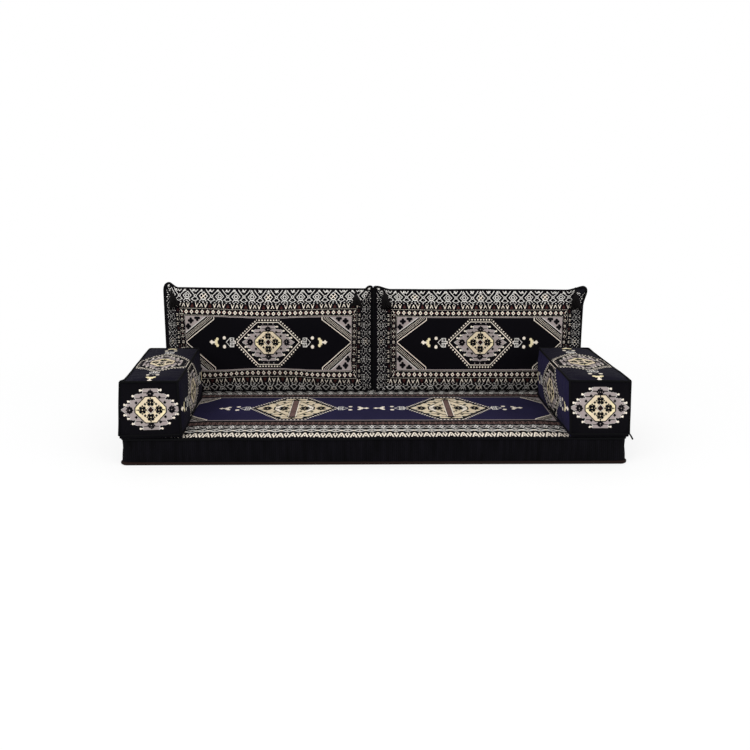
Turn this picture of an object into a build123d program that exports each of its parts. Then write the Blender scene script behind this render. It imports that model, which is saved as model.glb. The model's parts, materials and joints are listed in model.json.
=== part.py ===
from build123d import *
import math
import os

os.makedirs("parts", exist_ok=True)

# Whole set, in millimetres
# The origin is the middle of the seat's underside, +Z is up and the front faces -Y
seat_length = 2000
seat_height = 110
arm_width = 230
arm_length = 575
arm_height = 233
arm_end_inset = 7.5
arm_to_back_gap = 71
back_pair_overhang = 4
back_height = 494
back_front_depth = 56
back_rear_depth = 56
back_seam_inset = 68
back_meeting_x = 4
back_lean = 4.1
left_arm_turn = 3.5
right_arm_turn = 0

# Cloth, wadding and the play between sewn layers
cloth = 1.8
wadded_cloth = 3.6
seam_gap = 0.25
rest_gap = 0.3

# Piping round the edges
piping_radius = 4.5
arm_piping_corner = 5
arm_upright_radius = 4.2
seat_piping_corner = 22
welt_radius = 8

# Crowns of the padded faces
seat_crown = 5
band_crown = 4
arm_crown = 7
panel_station_shares = (-1, -0.6, 0, 0.6, 1)
panel_crown_shares = (0.1, 0.72, 1, 0.72, 0.1)

# Zips
zip_margin = 30
tape_width = 11.5
tape_thickness = 0.8
zip_split = 1.0
coil_width = 2.2
coil_height = 2.0
coil_margin = 8
slider_length = 14
slider_width = 10
slider_plate = 1.3
slider_flange = 1.2
slider_web = 0.4
slider_web_length = 4
slider_margin = 6
bail_post = 1.2
bail_span = 7
bail_radius = 0.9
bail_rise = 2.7
knuckle_radius = 2.2
knuckle_clearance = 0.35
pull_length = 34
pull_thickness = 1.6
pull_hole = 2
seat_zip_height = 68
back_zip_share = 0.645

# Ears and outline of the back cushions
ear_rise = 20
ear_out = 7
ear_drop = 80
ear_run = 70
back_piping_corner = 10
ear_piping_corner = 13
ear_blend_corner = 20
panel_edge = 0.3
bottom_share = 0.82
fullest_share = 0.4
roundness = 2.8
squareness = 1.5
top_margin = 5
height_shares = (0, 0.2, 0.4, 0.58, 0.76, 0.9, 1)
# Across half a back cushion: place, front fullness, rear fullness, lift of the underside, ear
back_stations_shares = (
    (0, 1, 1, 0, 0),
    (0.36, 0.97, 1, 0, 0),
    (0.58, 0.9, 1, 0, 0),
    (0.72, 0.79, 1, 0, 0),
    (0.86, 0.56, 0.74, 0.12, 0),
    (0.92, 0.4, 0.52, 0.3, 0.38),
    (0.97, 0.2, 0.26, 0.65, 0.72),
    (1, 0.04, 0.05, 1, 0.94),
)

# Tassels
tassel_inset = 48
left_inner_tassel_inset = 85
tassel_tilt = 22
left_inner_tassel_tilt = 25
tassel_reach = 6.5
left_inner_tassel_reach = 10.5
tassel_cord_radius = 2
tassel_cord_drop = 12
tassel_head_radius = 6.5
tassel_head_length = 16
tassel_neck_radius = 5.2
tassel_skirt_radius = 17
tassel_skirt_length = 60
tassel_flare_share = 0.62
tassel_layer_gap = 0.2

# Sizes that follow from those above: the seat reaches from the front of the arms to behind the back
# cushions, the arms stand at its two ends, and the two back cushions share its length
seat_depth = arm_length + arm_to_back_gap + back_front_depth + back_seam_inset
arm_spacing = seat_length - arm_width - 2 * arm_end_inset
back_width = (seat_length + back_pair_overhang) / 2 - 2 * ear_out


# Frames of reference

def turned(place, direction):
    """A direction given in a piece's own frame, in the frame of the set."""
    return place.x_dir * direction[0] + place.y_dir * direction[1] + place.z_dir * direction[2]


def on_face(place, at, outward, across):
    """A plane on one face of a piece, looking outwards."""
    origin = place.from_local_coords(Vector(*at))
    return Plane(origin=origin, x_dir=turned(place, across), z_dir=turned(place, outward))


def cross_section(face, along):
    """A plane across a face, with its sketch X over the face and its sketch Y outwards."""
    origin = face.from_local_coords(Vector(along, 0, 0))
    return Plane(origin=origin, x_dir=face.y_dir, z_dir=face.x_dir)


def leaning_plane(origin, lean):
    """A plane that faces the front and leans back by an angle, with sketch Y up the lean."""
    lean_angle = math.radians(lean)
    return Plane(origin=origin, x_dir=(1, 0, 0), z_dir=(0, -math.cos(lean_angle), math.sin(lean_angle)))


def save(piece, name):
    """Label a finished piece and write it."""
    piece.part.label = name
    export_step(piece.part, f"parts/{name}.step")


# Pieces that repeat on every cushion

def crowned_panel(face, length, width, thickness, crown, corner=0):
    """A cloth panel, flat behind and crowned in front, that lies on a face plane."""
    with BuildPart() as panel:
        for place_share, crown_share in zip(panel_station_shares, panel_crown_shares):
            with BuildSketch(cross_section(face, place_share * length / 2)):
                with BuildLine():
                    Polyline(
                        (width / 2, 0), (width / 2, -thickness), (-width / 2, -thickness), (-width / 2, 0)
                    )
                    ThreePointArc((-width / 2, 0), (0, crown * crown_share), (width / 2, 0))
                make_face()
        loft()
        if corner > 0:
            # The trimming block stands clear above and below, and its sides lie just inside the panel's
            with BuildSketch(face.offset(-2 * thickness)):
                RectangleRounded(length - 2 * panel_edge, width - 2 * panel_edge, corner)
            extrude(amount=2 * (thickness + crown), mode=Mode.INTERSECT)
    return panel


def flat_panel(face, length, width, thickness, corner):
    """A plain cloth panel that lies on a face plane."""
    with BuildPart() as panel:
        with BuildSketch(face):
            RectangleRounded(length, width, corner)
        extrude(amount=-thickness)
    return panel


def edge_relief(radius, inset_a, inset_b):
    """The chamfer that keeps a block clear of a piping cord along its edge."""
    return radius * (2 + math.sqrt(2)) + 2 * seam_gap - inset_a - inset_b


def piping_path(level, length, width, corner):
    """The centre line of a piping loop round a rectangle."""
    x = length / 2
    y = width / 2
    with BuildLine(level) as path:
        FilletPolyline((x, -y), (x, y), (-x, y), (-x, -y), radius=corner, close=True)
    return path.line


def add_cord(path, radius):
    """Sweep a round cord along a path, inside the open part."""
    with BuildSketch(Plane(origin=path @ 0, z_dir=path % 0)) as end:
        Circle(radius)
    sweep(sections=end.sketch, path=path)


def zip_slot_size(length):
    """Length and width of the opening that a zip closes."""
    return length + 2 * seam_gap, 2 * tape_width + zip_split + 2 * seam_gap


def make_zip(owner, face, length):
    """Tapes, coils, slider and pull of one zip, on a face plane whose sketch X runs along it."""
    with BuildPart() as tapes:
        with BuildSketch(face):
            with Locations((0, (zip_split + tape_width) / 2), (0, -(zip_split + tape_width) / 2)):
                Rectangle(length, tape_width)
        extrude(amount=-tape_thickness)
    save(tapes, f"{owner}_zip_tapes")

    coil_length = length - 2 * coil_margin
    with BuildPart() as coils:
        with BuildSketch(face):
            with Locations((0, (zip_split + coil_width) / 2), (0, -(zip_split + coil_width) / 2)):
                Rectangle(coil_length, coil_width)
        extrude(amount=coil_height)
    save(coils, f"{owner}_zip_coils")

    # The slider waits at the closed end, its web in the split between the two coils
    slider_x = coil_length / 2 - slider_margin - slider_length / 2
    inner_top = -tape_thickness - rest_gap
    outer_low = coil_height + rest_gap
    outer_top = outer_low + slider_plate
    flange_y = zip_split / 2 + coil_width + rest_gap + slider_flange / 2
    with BuildPart() as slider:
        with BuildSketch(face.offset(outer_low)):
            with Locations((slider_x, 0)):
                Rectangle(slider_length, slider_width)
        extrude(amount=slider_plate)
        with BuildSketch(face.offset(inner_top)):
            with Locations((slider_x, 0)):
                Rectangle(slider_length, slider_width)
        extrude(amount=-slider_plate)
        with BuildSketch(face.offset(inner_top)):
            with Locations((slider_x + (slider_length - slider_web_length) / 2, 0)):
                Rectangle(slider_web_length, slider_web)
        extrude(amount=outer_low - inner_top)
        with BuildSketch(face.offset(rest_gap)):
            with Locations((slider_x, flange_y), (slider_x, -flange_y)):
                Rectangle(slider_length, slider_flange)
        extrude(amount=outer_low - rest_gap)
        post_x = (bail_span + bail_post) / 2
        with BuildSketch(face.offset(outer_top)):
            with Locations((slider_x + post_x, 0), (slider_x - post_x, 0)):
                Rectangle(bail_post, 2 * bail_radius)
        extrude(amount=bail_rise + bail_radius)
        with BuildSketch(cross_section(face, slider_x - bail_span / 2 - bail_post)):
            with Locations((0, outer_top + bail_rise)):
                Circle(bail_radius)
        extrude(amount=bail_span + 2 * bail_post)
    save(slider, f"{owner}_zip_slider")

    knuckle_length = bail_span - 2 * knuckle_clearance
    pivot_height = outer_top + bail_rise
    with BuildPart() as pull:
        with BuildSketch(cross_section(face, slider_x - knuckle_length / 2)):
            with Locations((0, pivot_height)):
                Circle(knuckle_radius)
            with Locations((-(knuckle_radius + pull_length) / 2, pivot_height)):
                Rectangle(pull_length - knuckle_radius, pull_thickness)
            with Locations((-knuckle_radius, pivot_height)):
                Rectangle(2 * (knuckle_radius - bail_radius - knuckle_clearance), pull_thickness)
        extrude(amount=knuckle_length)
        with BuildSketch(cross_section(face, slider_x - knuckle_length / 2)):
            with Locations((0, pivot_height)):
                Circle(bail_radius + knuckle_clearance)
        extrude(amount=knuckle_length, mode=Mode.SUBTRACT)
        with BuildSketch(face.offset(pivot_height - pull_thickness)):
            with Locations((slider_x, -pull_length + 2 * pull_hole)):
                Circle(pull_hole)
        extrude(amount=2 * pull_thickness, mode=Mode.SUBTRACT)
    save(pull, f"{owner}_zip_pull")
    pivot = face.from_local_coords(Vector(slider_x, 0, pivot_height))
    travel = coil_length - 2 * slider_margin - slider_length
    print(owner, "zip pivot", [round(value, 3) for value in pivot], "travel", round(travel, 3))


# Seat mattress: foam block, crowned top, ribbed bands, piping above and a thick welt below
seat_place = Plane.XY
band_inset = welt_radius
core_inset = band_inset + cloth + seam_gap
core_rear_inset = band_inset + wadded_cloth + seam_gap
core_bottom = cloth + seam_gap
core_top = seat_height - piping_radius - cloth - seam_gap
core_depth = seat_depth - core_inset - core_rear_inset
with BuildPart() as seat_foam_core:
    with BuildSketch(Plane.XY.offset(core_bottom)):
        with Locations((0, (core_inset - core_rear_inset) / 2)):
            RectangleRounded(seat_length - 2 * core_inset, core_depth, seat_piping_corner)
    extrude(amount=core_top - core_bottom)
    reliefs = (
        (0, edge_relief(welt_radius, core_inset, core_bottom)),
        (-1, edge_relief(piping_radius, core_inset, seat_height - core_top)),
    )
    for face_number, relief in reliefs:
        if relief > 0:
            chamfer(seat_foam_core.faces().sort_by(Axis.Z)[face_number].edges(), length=relief)
save(seat_foam_core, "seat_foam_core")

panel_margin = 2 * (2 * piping_radius + seam_gap)
seat_top_face = on_face(seat_place, (0, 0, seat_height - piping_radius), (0, 0, 1), (1, 0, 0))
seat_top_panel = crowned_panel(
    seat_top_face,
    seat_length - panel_margin,
    seat_depth - panel_margin,
    cloth,
    seat_crown,
    seat_piping_corner - piping_radius,
)
save(seat_top_panel, "seat_top_panel")

band_low = 2 * welt_radius + rest_gap + seam_gap
band_high = seat_height - 2 * piping_radius - seam_gap
band_middle = (band_low + band_high) / 2
band_height = band_high - band_low
front_band_face = on_face(seat_place, (0, -seat_depth / 2 + band_inset, band_middle), (0, -1, 0), (1, 0, 0))
seat_front_band = crowned_panel(
    front_band_face, seat_length - 2 * seat_piping_corner, band_height, cloth, band_crown
)
save(seat_front_band, "seat_front_band")
for side_name, side in (("left", -1), ("right", 1)):
    side_place = (side * (seat_length / 2 - band_inset), 0, band_middle)
    side_face = on_face(seat_place, side_place, (side, 0, 0), (0, side, 0))
    side_length = seat_depth - 2 * seat_piping_corner
    side_band = crowned_panel(side_face, side_length, band_height, cloth, band_crown)
    save(side_band, f"seat_{side_name}_band")

seat_rear_face = on_face(seat_place, (0, seat_depth / 2 - band_inset, band_middle), (0, 1, 0), (-1, 0, 0))
seat_zip_place = (0, seat_depth / 2 - band_inset, seat_zip_height)
seat_zip_face = on_face(seat_place, seat_zip_place, (0, 1, 0), (-1, 0, 0))
seat_zip_length = seat_length - 2 * seat_piping_corner - 2 * zip_margin
with BuildPart() as seat_rear_band:
    with BuildSketch(seat_rear_face):
        Rectangle(seat_length - 2 * seat_piping_corner, band_height)
    extrude(amount=-wadded_cloth)
    with BuildSketch(seat_zip_face):
        Rectangle(*zip_slot_size(seat_zip_length))
    extrude(amount=-wadded_cloth, mode=Mode.SUBTRACT)
save(seat_rear_band, "seat_rear_band")
make_zip("seat", seat_zip_face, seat_zip_length)

base_margin = 2 * (2 * welt_radius + seam_gap)
seat_base_face = on_face(seat_place, (0, 0, 0), (0, 0, -1), (1, 0, 0))
seat_base_panel = flat_panel(
    seat_base_face,
    seat_length - base_margin,
    seat_depth - base_margin,
    cloth,
    seat_piping_corner - welt_radius,
)
save(seat_base_panel, "seat_base_panel")

with BuildPart() as seat_top_piping:
    add_cord(
        piping_path(
            Plane.XY.offset(seat_height - piping_radius),
            seat_length - 2 * piping_radius,
            seat_depth - 2 * piping_radius,
            seat_piping_corner,
        ),
        piping_radius,
    )
save(seat_top_piping, "seat_top_piping")

with BuildPart() as seat_base_piping:
    add_cord(
        piping_path(
            Plane.XY.offset(welt_radius + rest_gap),
            seat_length - 2 * welt_radius,
            seat_depth - 2 * welt_radius,
            seat_piping_corner,
        ),
        welt_radius,
    )
save(seat_base_piping, "seat_base_piping")


# Arm bolsters: a foam block in six panels, with piping along every edge

def arm_place(side, turn):
    """The middle of an arm's underside; the arm turns about the middle of its front edge."""
    turn_angle = math.radians(turn)
    across = Vector(math.cos(turn_angle), math.sin(turn_angle), 0)
    along = Vector(-math.sin(turn_angle), math.cos(turn_angle), 0)
    front = Vector(side * arm_spacing / 2, -seat_depth / 2, seat_height + rest_gap)
    return Plane(origin=front + along * (arm_length / 2), x_dir=across, z_dir=(0, 0, 1))


def make_arm(name, place, side):
    """All the pieces of one arm bolster."""
    inset = piping_radius
    core_low = inset + cloth + seam_gap
    rear_low = inset + wadded_cloth + seam_gap
    # The upright cords meet the loops at the middle of their rounded corners
    corner_inset = arm_piping_corner * (1 - 1 / math.sqrt(2))
    relief = edge_relief(piping_radius, core_low, core_low) + 2 * corner_inset
    core_length = arm_length - core_low - rear_low
    core_middle = on_face(place, (0, (core_low - rear_low) / 2, core_low), (0, 0, 1), (1, 0, 0))
    with BuildPart() as foam_core:
        with BuildSketch(core_middle):
            Rectangle(arm_width - 2 * core_low, core_length)
        extrude(amount=arm_height - 2 * core_low)
        chamfer(foam_core.edges(), length=relief)
    save(foam_core, f"{name}_foam_core")

    margin = 2 * (2 * piping_radius + seam_gap)
    width = arm_width - margin
    length = arm_length - margin
    height = arm_height - margin
    upright_width = width - 2 * corner_inset
    upright_length = length - 2 * corner_inset
    half_width = arm_width / 2 - inset
    half_length = arm_length / 2 - inset
    middle = arm_height / 2
    inner_face = on_face(place, (-side * half_width, 0, middle), (-side, 0, 0), (0, -side, 0))
    outer_face = on_face(place, (side * half_width, 0, middle), (side, 0, 0), (0, side, 0))
    front_face = on_face(place, (0, -half_length, middle), (0, -1, 0), (1, 0, 0))
    faces = {
        "top_panel": (on_face(place, (0, 0, arm_height - inset), (0, 0, 1), (0, 1, 0)), length, width),
        "inner_panel": (inner_face, upright_length, height),
        "outer_panel": (outer_face, upright_length, height),
        "front_panel": (front_face, upright_width, height),
    }
    for panel_name, (face, panel_length, panel_width) in faces.items():
        panel = crowned_panel(face, panel_length, panel_width, cloth, arm_crown)
        save(panel, f"{name}_{panel_name}")
    base = flat_panel(on_face(place, (0, 0, inset), (0, 0, -1), (1, 0, 0)), width, length, cloth, cloth)
    save(base, f"{name}_base_panel")

    rear_face = on_face(place, (0, half_length, middle), (0, 1, 0), (-1, 0, 0))
    zip_length = upright_width - zip_margin
    with BuildPart() as rear_panel:
        with BuildSketch(rear_face):
            Rectangle(upright_width, height)
        extrude(amount=-wadded_cloth)
        with BuildSketch(rear_face):
            Rectangle(*zip_slot_size(zip_length))
        extrude(amount=-wadded_cloth, mode=Mode.SUBTRACT)
    save(rear_panel, f"{name}_rear_panel")
    make_zip(name, rear_face, zip_length)

    post_x = arm_width / 2 - piping_radius - corner_inset
    post_y = arm_length / 2 - piping_radius - corner_inset
    low = on_face(place, (0, 0, piping_radius), (0, 0, 1), (1, 0, 0))
    high = on_face(place, (0, 0, arm_height - piping_radius), (0, 0, 1), (1, 0, 0))
    with BuildPart() as piping:
        for level in (low, high):
            add_cord(
                piping_path(
                    level, arm_width - 2 * piping_radius, arm_length - 2 * piping_radius, arm_piping_corner
                ),
                piping_radius,
            )
        with BuildSketch(low):
            with GridLocations(2 * post_x, 2 * post_y, 2, 2):
                Circle(arm_upright_radius)
        extrude(amount=arm_height - 2 * piping_radius)
    save(piping, f"{name}_piping")


make_arm("left_arm", arm_place(-1, left_arm_turn), -1)
make_arm("right_arm", arm_place(1, right_arm_turn), 1)


# Back cushions: knife-edged, with a squashed underside, raised ears and a tassel near each ear

lean_slope = math.tan(math.radians(back_lean))
back_base_height = seat_height - piping_radius + seat_crown / 2
seam_low = 2 * piping_radius + rest_gap + seam_gap
seam_half_width = back_width / 2 - piping_radius
panel_half_width = seam_half_width - piping_radius - seam_gap
panel_high = back_height - 2 * piping_radius - seam_gap


def back_middle(side):
    """The foot of a back cushion's seam plane, in the middle of its width."""
    x = back_meeting_x + side * (back_width / 2 + ear_out)
    return Vector(x, seat_depth / 2 - back_seam_inset, back_base_height)


def station_plane(middle, along):
    """A plane across a back cushion, with sketch X backwards and sketch Y up the lean."""
    lean_angle = math.radians(back_lean)
    origin = middle + Vector(along, 0, 0)
    return Plane(origin=origin, x_dir=(0, math.cos(lean_angle), -math.sin(lean_angle)), z_dir=(1, 0, 0))


def fullness(share):
    """How full the cushion is at a share of its height, from 0 at the top seam to 1."""
    if share < fullest_share:
        return bottom_share + (1 - bottom_share) * (1 - (1 - share / fullest_share) ** 2)
    upper_share = (share - fullest_share) / (1 - fullest_share)
    return (1 - upper_share ** roundness) ** (1 / squareness)


def face_points(side, depth, edge, low, high):
    """Seven points up one face of the cushion; side is -1 in front and 1 behind."""
    points = []
    for share in height_shares:
        reach = edge + (depth - edge) * fullness(share)
        points.append((side * reach, low + (high - low) * share))
    return points


def bowed_line(points):
    """Three arcs through seven points, inside the open line."""
    for first in (0, 2, 4):
        ThreePointArc(points[first], points[first + 1], points[first + 2])


def half_stations():
    """The stations from one side of a cushion to the other, each with its signed place."""
    left = [(-row[0], *row[1:]) for row in reversed(back_stations_shares[1:])]
    return left + list(back_stations_shares)


def underside(side, depth, lift_share):
    """The height of a cushion's lowest edge on one face, level with the seat under it."""
    lift = rest_gap + lift_share * (seam_low + back_piping_corner - piping_radius)
    return lift + side * depth * bottom_share * lean_slope * (1 - lift_share)


def back_panel_loft(middle, side, full_depth, thickness):
    """One face of the cover, lofted through its stations, inside the open part."""
    sections = []
    for place_share, front_share, rear_share, lift_share, ear_share in half_stations():
        share = front_share if side < 0 else rear_share
        edge = panel_edge + thickness
        depth = edge + (full_depth - edge) * share
        low = underside(side, depth, lift_share)
        high = panel_high + ear_share * ear_rise * (1 - piping_radius / ear_rise)
        seam = seam_low + lift_share * (back_piping_corner - piping_radius)
        outer = face_points(side, depth, edge, low, high)
        inner = face_points(side, depth - thickness, panel_edge, low + thickness, high)
        with BuildSketch(station_plane(middle, place_share * panel_half_width)) as section:
            with BuildLine():
                Polyline(
                    inner[0], (side * panel_edge, seam + thickness), (side * panel_edge, seam), outer[0]
                )
                bowed_line(outer)
                Line(outer[-1], inner[-1])
                bowed_line(inner)
            make_face()
        sections.append(section.sketch)
    loft(sections=sections, ruled=True)


def add_ears(middle, side, thickness):
    """The two thin cloth ears of one face, inside the open part."""
    root = panel_half_width - piping_radius
    tip = panel_half_width + ear_out - 2 * piping_radius
    top = panel_high + ear_rise - piping_radius
    face = leaning_plane(middle, back_lean)
    for hand in (-1, 1):
        with BuildSketch(face.offset(-side * panel_edge)) as ear:
            with BuildLine():
                Polyline(
                    (hand * root, panel_high - ear_drop),
                    (hand * panel_half_width, panel_high - ear_drop),
                    (hand * tip, top - 2 * piping_radius),
                    (hand * tip, top),
                    (hand * root, top - piping_radius),
                    close=True,
                )
            make_face()
        extrude(ear.sketch, amount=-side * thickness)


def back_filling_section(plane, front_share, rear_share, lift_share, ear_share):
    """One section of the filling, just inside both faces of the cover."""
    front_edge = panel_edge + cloth
    rear_edge = panel_edge + wadded_cloth
    front_depth = front_edge + (back_front_depth - front_edge) * front_share
    rear_depth = rear_edge + (back_rear_depth - rear_edge) * rear_share
    front_low = underside(-1, front_depth, lift_share) + cloth + seam_gap
    rear_low = underside(1, rear_depth, lift_share) + wadded_cloth + seam_gap
    high = panel_high - top_margin + ear_share * ear_rise
    seam = seam_low + wadded_cloth + seam_gap + lift_share * (back_piping_corner - piping_radius)
    front = face_points(-1, front_depth - cloth - seam_gap, seam_gap, front_low, high)
    rear = face_points(1, rear_depth - wadded_cloth - seam_gap, seam_gap, rear_low, high)
    with BuildSketch(plane) as section:
        with BuildLine():
            bowed_line(front)
            Line(front[-1], rear[-1])
            bowed_line(rear)
            Polyline(rear[0], (0, seam), front[0])
        make_face()
    return section.sketch


def revolve_profile(face, axis, bottom_radius, low, top_radius, high, middle_radius):
    """A round body between two levels of a face plane, inside the open part."""
    with BuildSketch(face) as profile:
        with BuildLine():
            Polyline((bottom_radius, low), (0, low), (0, high), (top_radius, high))
            ThreePointArc((top_radius, high), (middle_radius, (low + high) / 2), (bottom_radius, low))
        make_face()
    revolve(profile.sketch, axis=axis)


def make_tassel(name, middle, x, reach, tilt):
    """A tassel on a cord from the top seam: the cord passes the seam, the skirt lies on the front face."""
    lean_angle = math.radians(back_lean)
    ear_start = seam_half_width - ear_run
    ear_slope = ear_rise / (ear_run + ear_out)
    seam_top = back_height - piping_radius + max(0, abs(x - middle.X) - ear_start) * ear_slope
    stand_off = piping_radius + tassel_cord_radius + rest_gap
    pivot = Vector(
        x,
        middle.Y + seam_top * math.sin(lean_angle) - stand_off,
        middle.Z + seam_top * math.cos(lean_angle),
    )
    cord = Vector(0, -reach, -tassel_cord_drop)
    face = leaning_plane(pivot + cord, tilt)
    axis = Axis(origin=face.origin, direction=face.y_dir)
    skirt_top = -tassel_head_length - tassel_layer_gap
    skirt_low = skirt_top - tassel_skirt_length
    flare_radius = tassel_neck_radius + (tassel_skirt_radius - tassel_neck_radius) * tassel_flare_share
    with BuildPart() as tassel:
        with BuildSketch(Plane(origin=pivot, z_dir=cord)):
            Circle(tassel_cord_radius)
        extrude(amount=cord.length - 2 * tassel_layer_gap)
        revolve_profile(
            face, axis, tassel_neck_radius, -tassel_head_length, tassel_cord_radius, 0, tassel_head_radius
        )
        revolve_profile(
            face, axis, tassel_skirt_radius, skirt_low, tassel_neck_radius, skirt_top, flare_radius
        )
    save(tassel, name)
    print(name, "pivot", [round(value, 3) for value in pivot])


def make_back(name, side, tassels):
    """All the pieces of one back cushion; each tassel has its inset, reach and tilt."""
    middle = back_middle(side)
    with BuildPart() as front_panel:
        back_panel_loft(middle, -1, back_front_depth, cloth)
        add_ears(middle, -1, cloth)
    save(front_panel, f"{name}_front_panel")

    # The zip lies across the fullest and flattest part of the rear face
    zip_up = rest_gap + (panel_high - rest_gap) * fullest_share
    zip_point = station_plane(middle, 0).from_local_coords(Vector(back_rear_depth, zip_up, 0))
    lean_angle = math.radians(back_lean)
    backwards = (0, math.cos(lean_angle), -math.sin(lean_angle))
    zip_face = Plane(origin=zip_point, x_dir=(-1, 0, 0), z_dir=backwards)
    zip_length = 2 * panel_half_width * back_zip_share
    with BuildPart() as rear_panel:
        back_panel_loft(middle, 1, back_rear_depth, wadded_cloth)
        with BuildSketch(zip_face.offset(wadded_cloth)):
            Rectangle(*zip_slot_size(zip_length))
        extrude(amount=-3 * wadded_cloth, mode=Mode.SUBTRACT)
        add_ears(middle, 1, cloth)
    save(rear_panel, f"{name}_rear_panel")
    make_zip(name, zip_face, zip_length)

    sections = []
    for place_share, *shares in half_stations():
        if abs(place_share) < 1:
            plane = station_plane(middle, place_share * panel_half_width)
            sections.append(back_filling_section(plane, *shares))
    with BuildPart() as filling:
        loft(sections=sections, ruled=True)
    save(filling, f"{name}_filling")

    seam_plane = leaning_plane(middle, back_lean)
    low = piping_radius + rest_gap
    high = back_height - piping_radius
    ear_tip = (seam_half_width + ear_out, high + ear_rise)
    ear_root = high - ear_drop
    with BuildLine(seam_plane) as seam:
        FilletPolyline(
            (seam_half_width, low),
            (seam_half_width, ear_root),
            ear_tip,
            (seam_half_width - ear_run, high),
            (-seam_half_width + ear_run, high),
            (-ear_tip[0], ear_tip[1]),
            (-seam_half_width, ear_root),
            (-seam_half_width, low),
            radius=(
                back_piping_corner, ear_blend_corner, ear_piping_corner, ear_blend_corner,
                ear_blend_corner, ear_piping_corner, ear_blend_corner, back_piping_corner,
            ),
            close=True,
        )
    with BuildPart() as piping:
        add_cord(seam.line, piping_radius)
    save(piping, f"{name}_piping")

    tip_reach = back_width / 2 + ear_out
    for tassel_name, hand, (inset, reach, tilt) in zip(("left_tassel", "right_tassel"), (-1, 1), tassels):
        make_tassel(f"{name}_{tassel_name}", middle, middle.X + hand * (tip_reach - inset), reach, tilt)


outer_tassel = (tassel_inset, tassel_reach, tassel_tilt)
left_inner_tassel = (left_inner_tassel_inset, left_inner_tassel_reach, left_inner_tassel_tilt)
make_back("left_back", -1, (outer_tassel, left_inner_tassel))
make_back("right_back", 1, (outer_tassel, outer_tassel))
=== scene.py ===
"""A majlis floor sofa: piped seat mattress, two arm bolsters and two tasselled back cushions in jacquard cloth."""
import json
import logging
import math
from dataclasses import dataclass, field
from enum import Enum
from typing import Callable, Sequence, Union

import bmesh
import bpy
from mathutils import Matrix, Vector


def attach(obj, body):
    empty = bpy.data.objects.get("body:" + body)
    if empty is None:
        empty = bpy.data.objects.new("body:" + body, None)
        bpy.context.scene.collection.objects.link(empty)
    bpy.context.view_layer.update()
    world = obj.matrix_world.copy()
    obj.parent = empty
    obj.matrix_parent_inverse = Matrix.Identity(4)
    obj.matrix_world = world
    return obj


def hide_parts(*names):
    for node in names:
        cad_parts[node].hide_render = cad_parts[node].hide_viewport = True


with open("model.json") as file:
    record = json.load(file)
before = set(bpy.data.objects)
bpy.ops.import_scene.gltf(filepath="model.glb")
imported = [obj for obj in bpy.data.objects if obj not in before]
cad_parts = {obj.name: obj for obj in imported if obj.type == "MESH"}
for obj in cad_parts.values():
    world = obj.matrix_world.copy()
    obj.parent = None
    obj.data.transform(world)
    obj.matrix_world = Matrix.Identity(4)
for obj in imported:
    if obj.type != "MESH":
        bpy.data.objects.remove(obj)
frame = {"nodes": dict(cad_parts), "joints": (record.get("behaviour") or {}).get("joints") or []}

logging.basicConfig(level=logging.INFO, format="%(message)s")
log = logging.getLogger("majlis")

MM = 0.001
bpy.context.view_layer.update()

Socket = bpy.types.NodeSocket
Shape = bmesh.types.BMesh
Inputs = dict[Union[int, str], object]
CLOTH_SPECULAR = 0.06


# Yarns and the chart that draws an ornament with them


def linear(red: int, green: int, blue: int) -> tuple[float, float, float, float]:
    """Turn a colour as it is seen on a screen into the shader's linear colour.

    Args:
        red: Red from 0 to 255.
        green: Green from 0 to 255.
        blue: Blue from 0 to 255.

    Returns:
        The linear colour with full alpha.
    """
    parts = []
    for value in (red, green, blue):
        share = value / 255
        parts.append(share / 12.92 if share <= 0.04045 else ((share + 0.055) / 1.055) ** 2.4)
    return parts[0], parts[1], parts[2], 1.0


class Yarn(Enum):
    """The dyed yarns of the cloth, and one darkened indigo that is painted shade."""

    BLACK = linear(6, 5, 9)
    # Painted shade: indigo darkened to about half, so the arm tops and the left arm's sides look darker, as the light
    # falls on them
    NIGHT = linear(14, 12, 25)
    INDIGO = linear(28, 25, 53)
    LILAC = linear(148, 138, 136)
    CHALK = linear(206, 203, 198)
    CREAM = linear(224, 214, 199)
    SAND = linear(206, 191, 164)
    STRAW = linear(220, 207, 168)
    BRICK = linear(62, 33, 31)
    UMBER = linear(32, 17, 18)
    ROSE = linear(112, 88, 83)


Value = Union[float, "Signal"]


class Signal:
    """One number that varies over the cloth, as a shader node gives it."""

    def __init__(self, chart: "Chart", socket: Socket) -> None:
        """Keep the node's output and the chart that it belongs to."""
        self.chart = chart
        self.socket = socket

    def __add__(self, other: Value) -> "Signal":
        """The sum."""
        return self.chart.calc("ADD", self, other)

    __radd__ = __add__

    def __sub__(self, other: Value) -> "Signal":
        """The difference."""
        return self.chart.calc("SUBTRACT", self, other)

    def __rsub__(self, other: Value) -> "Signal":
        """The difference from a number."""
        return self.chart.calc("SUBTRACT", other, self)

    def __mul__(self, other: Value) -> "Signal":
        """The product."""
        return self.chart.calc("MULTIPLY", self, other)

    __rmul__ = __mul__

    def __lt__(self, other: Value) -> "Signal":
        """1 where this is less, otherwise 0."""
        return self.chart.calc("LESS_THAN", self, other)

    def __gt__(self, other: Value) -> "Signal":
        """1 where this is more, otherwise 0."""
        return self.chart.calc("GREATER_THAN", self, other)

    def __and__(self, other: Value) -> "Signal":
        """1 where both masks are 1."""
        return self.chart.calc("MINIMUM", self, other)

    def __or__(self, other: Value) -> "Signal":
        """1 where either mask is 1."""
        return self.chart.calc("MAXIMUM", self, other)

    def __invert__(self) -> "Signal":
        """1 where the mask is 0."""
        return self.chart.calc("SUBTRACT", 1.0, self)

    def off(self, middle: Value = 0.0) -> "Signal":
        """How far this is from a value."""
        gap = self if isinstance(middle, float) and middle == 0.0 else self - middle
        return self.chart.calc("ABSOLUTE", gap)

    def fold(self, half_period: float) -> "Signal":
        """Fold into a zigzag between 0 and half a period."""
        return self.chart.calc("PINGPONG", self, half_period)


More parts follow.
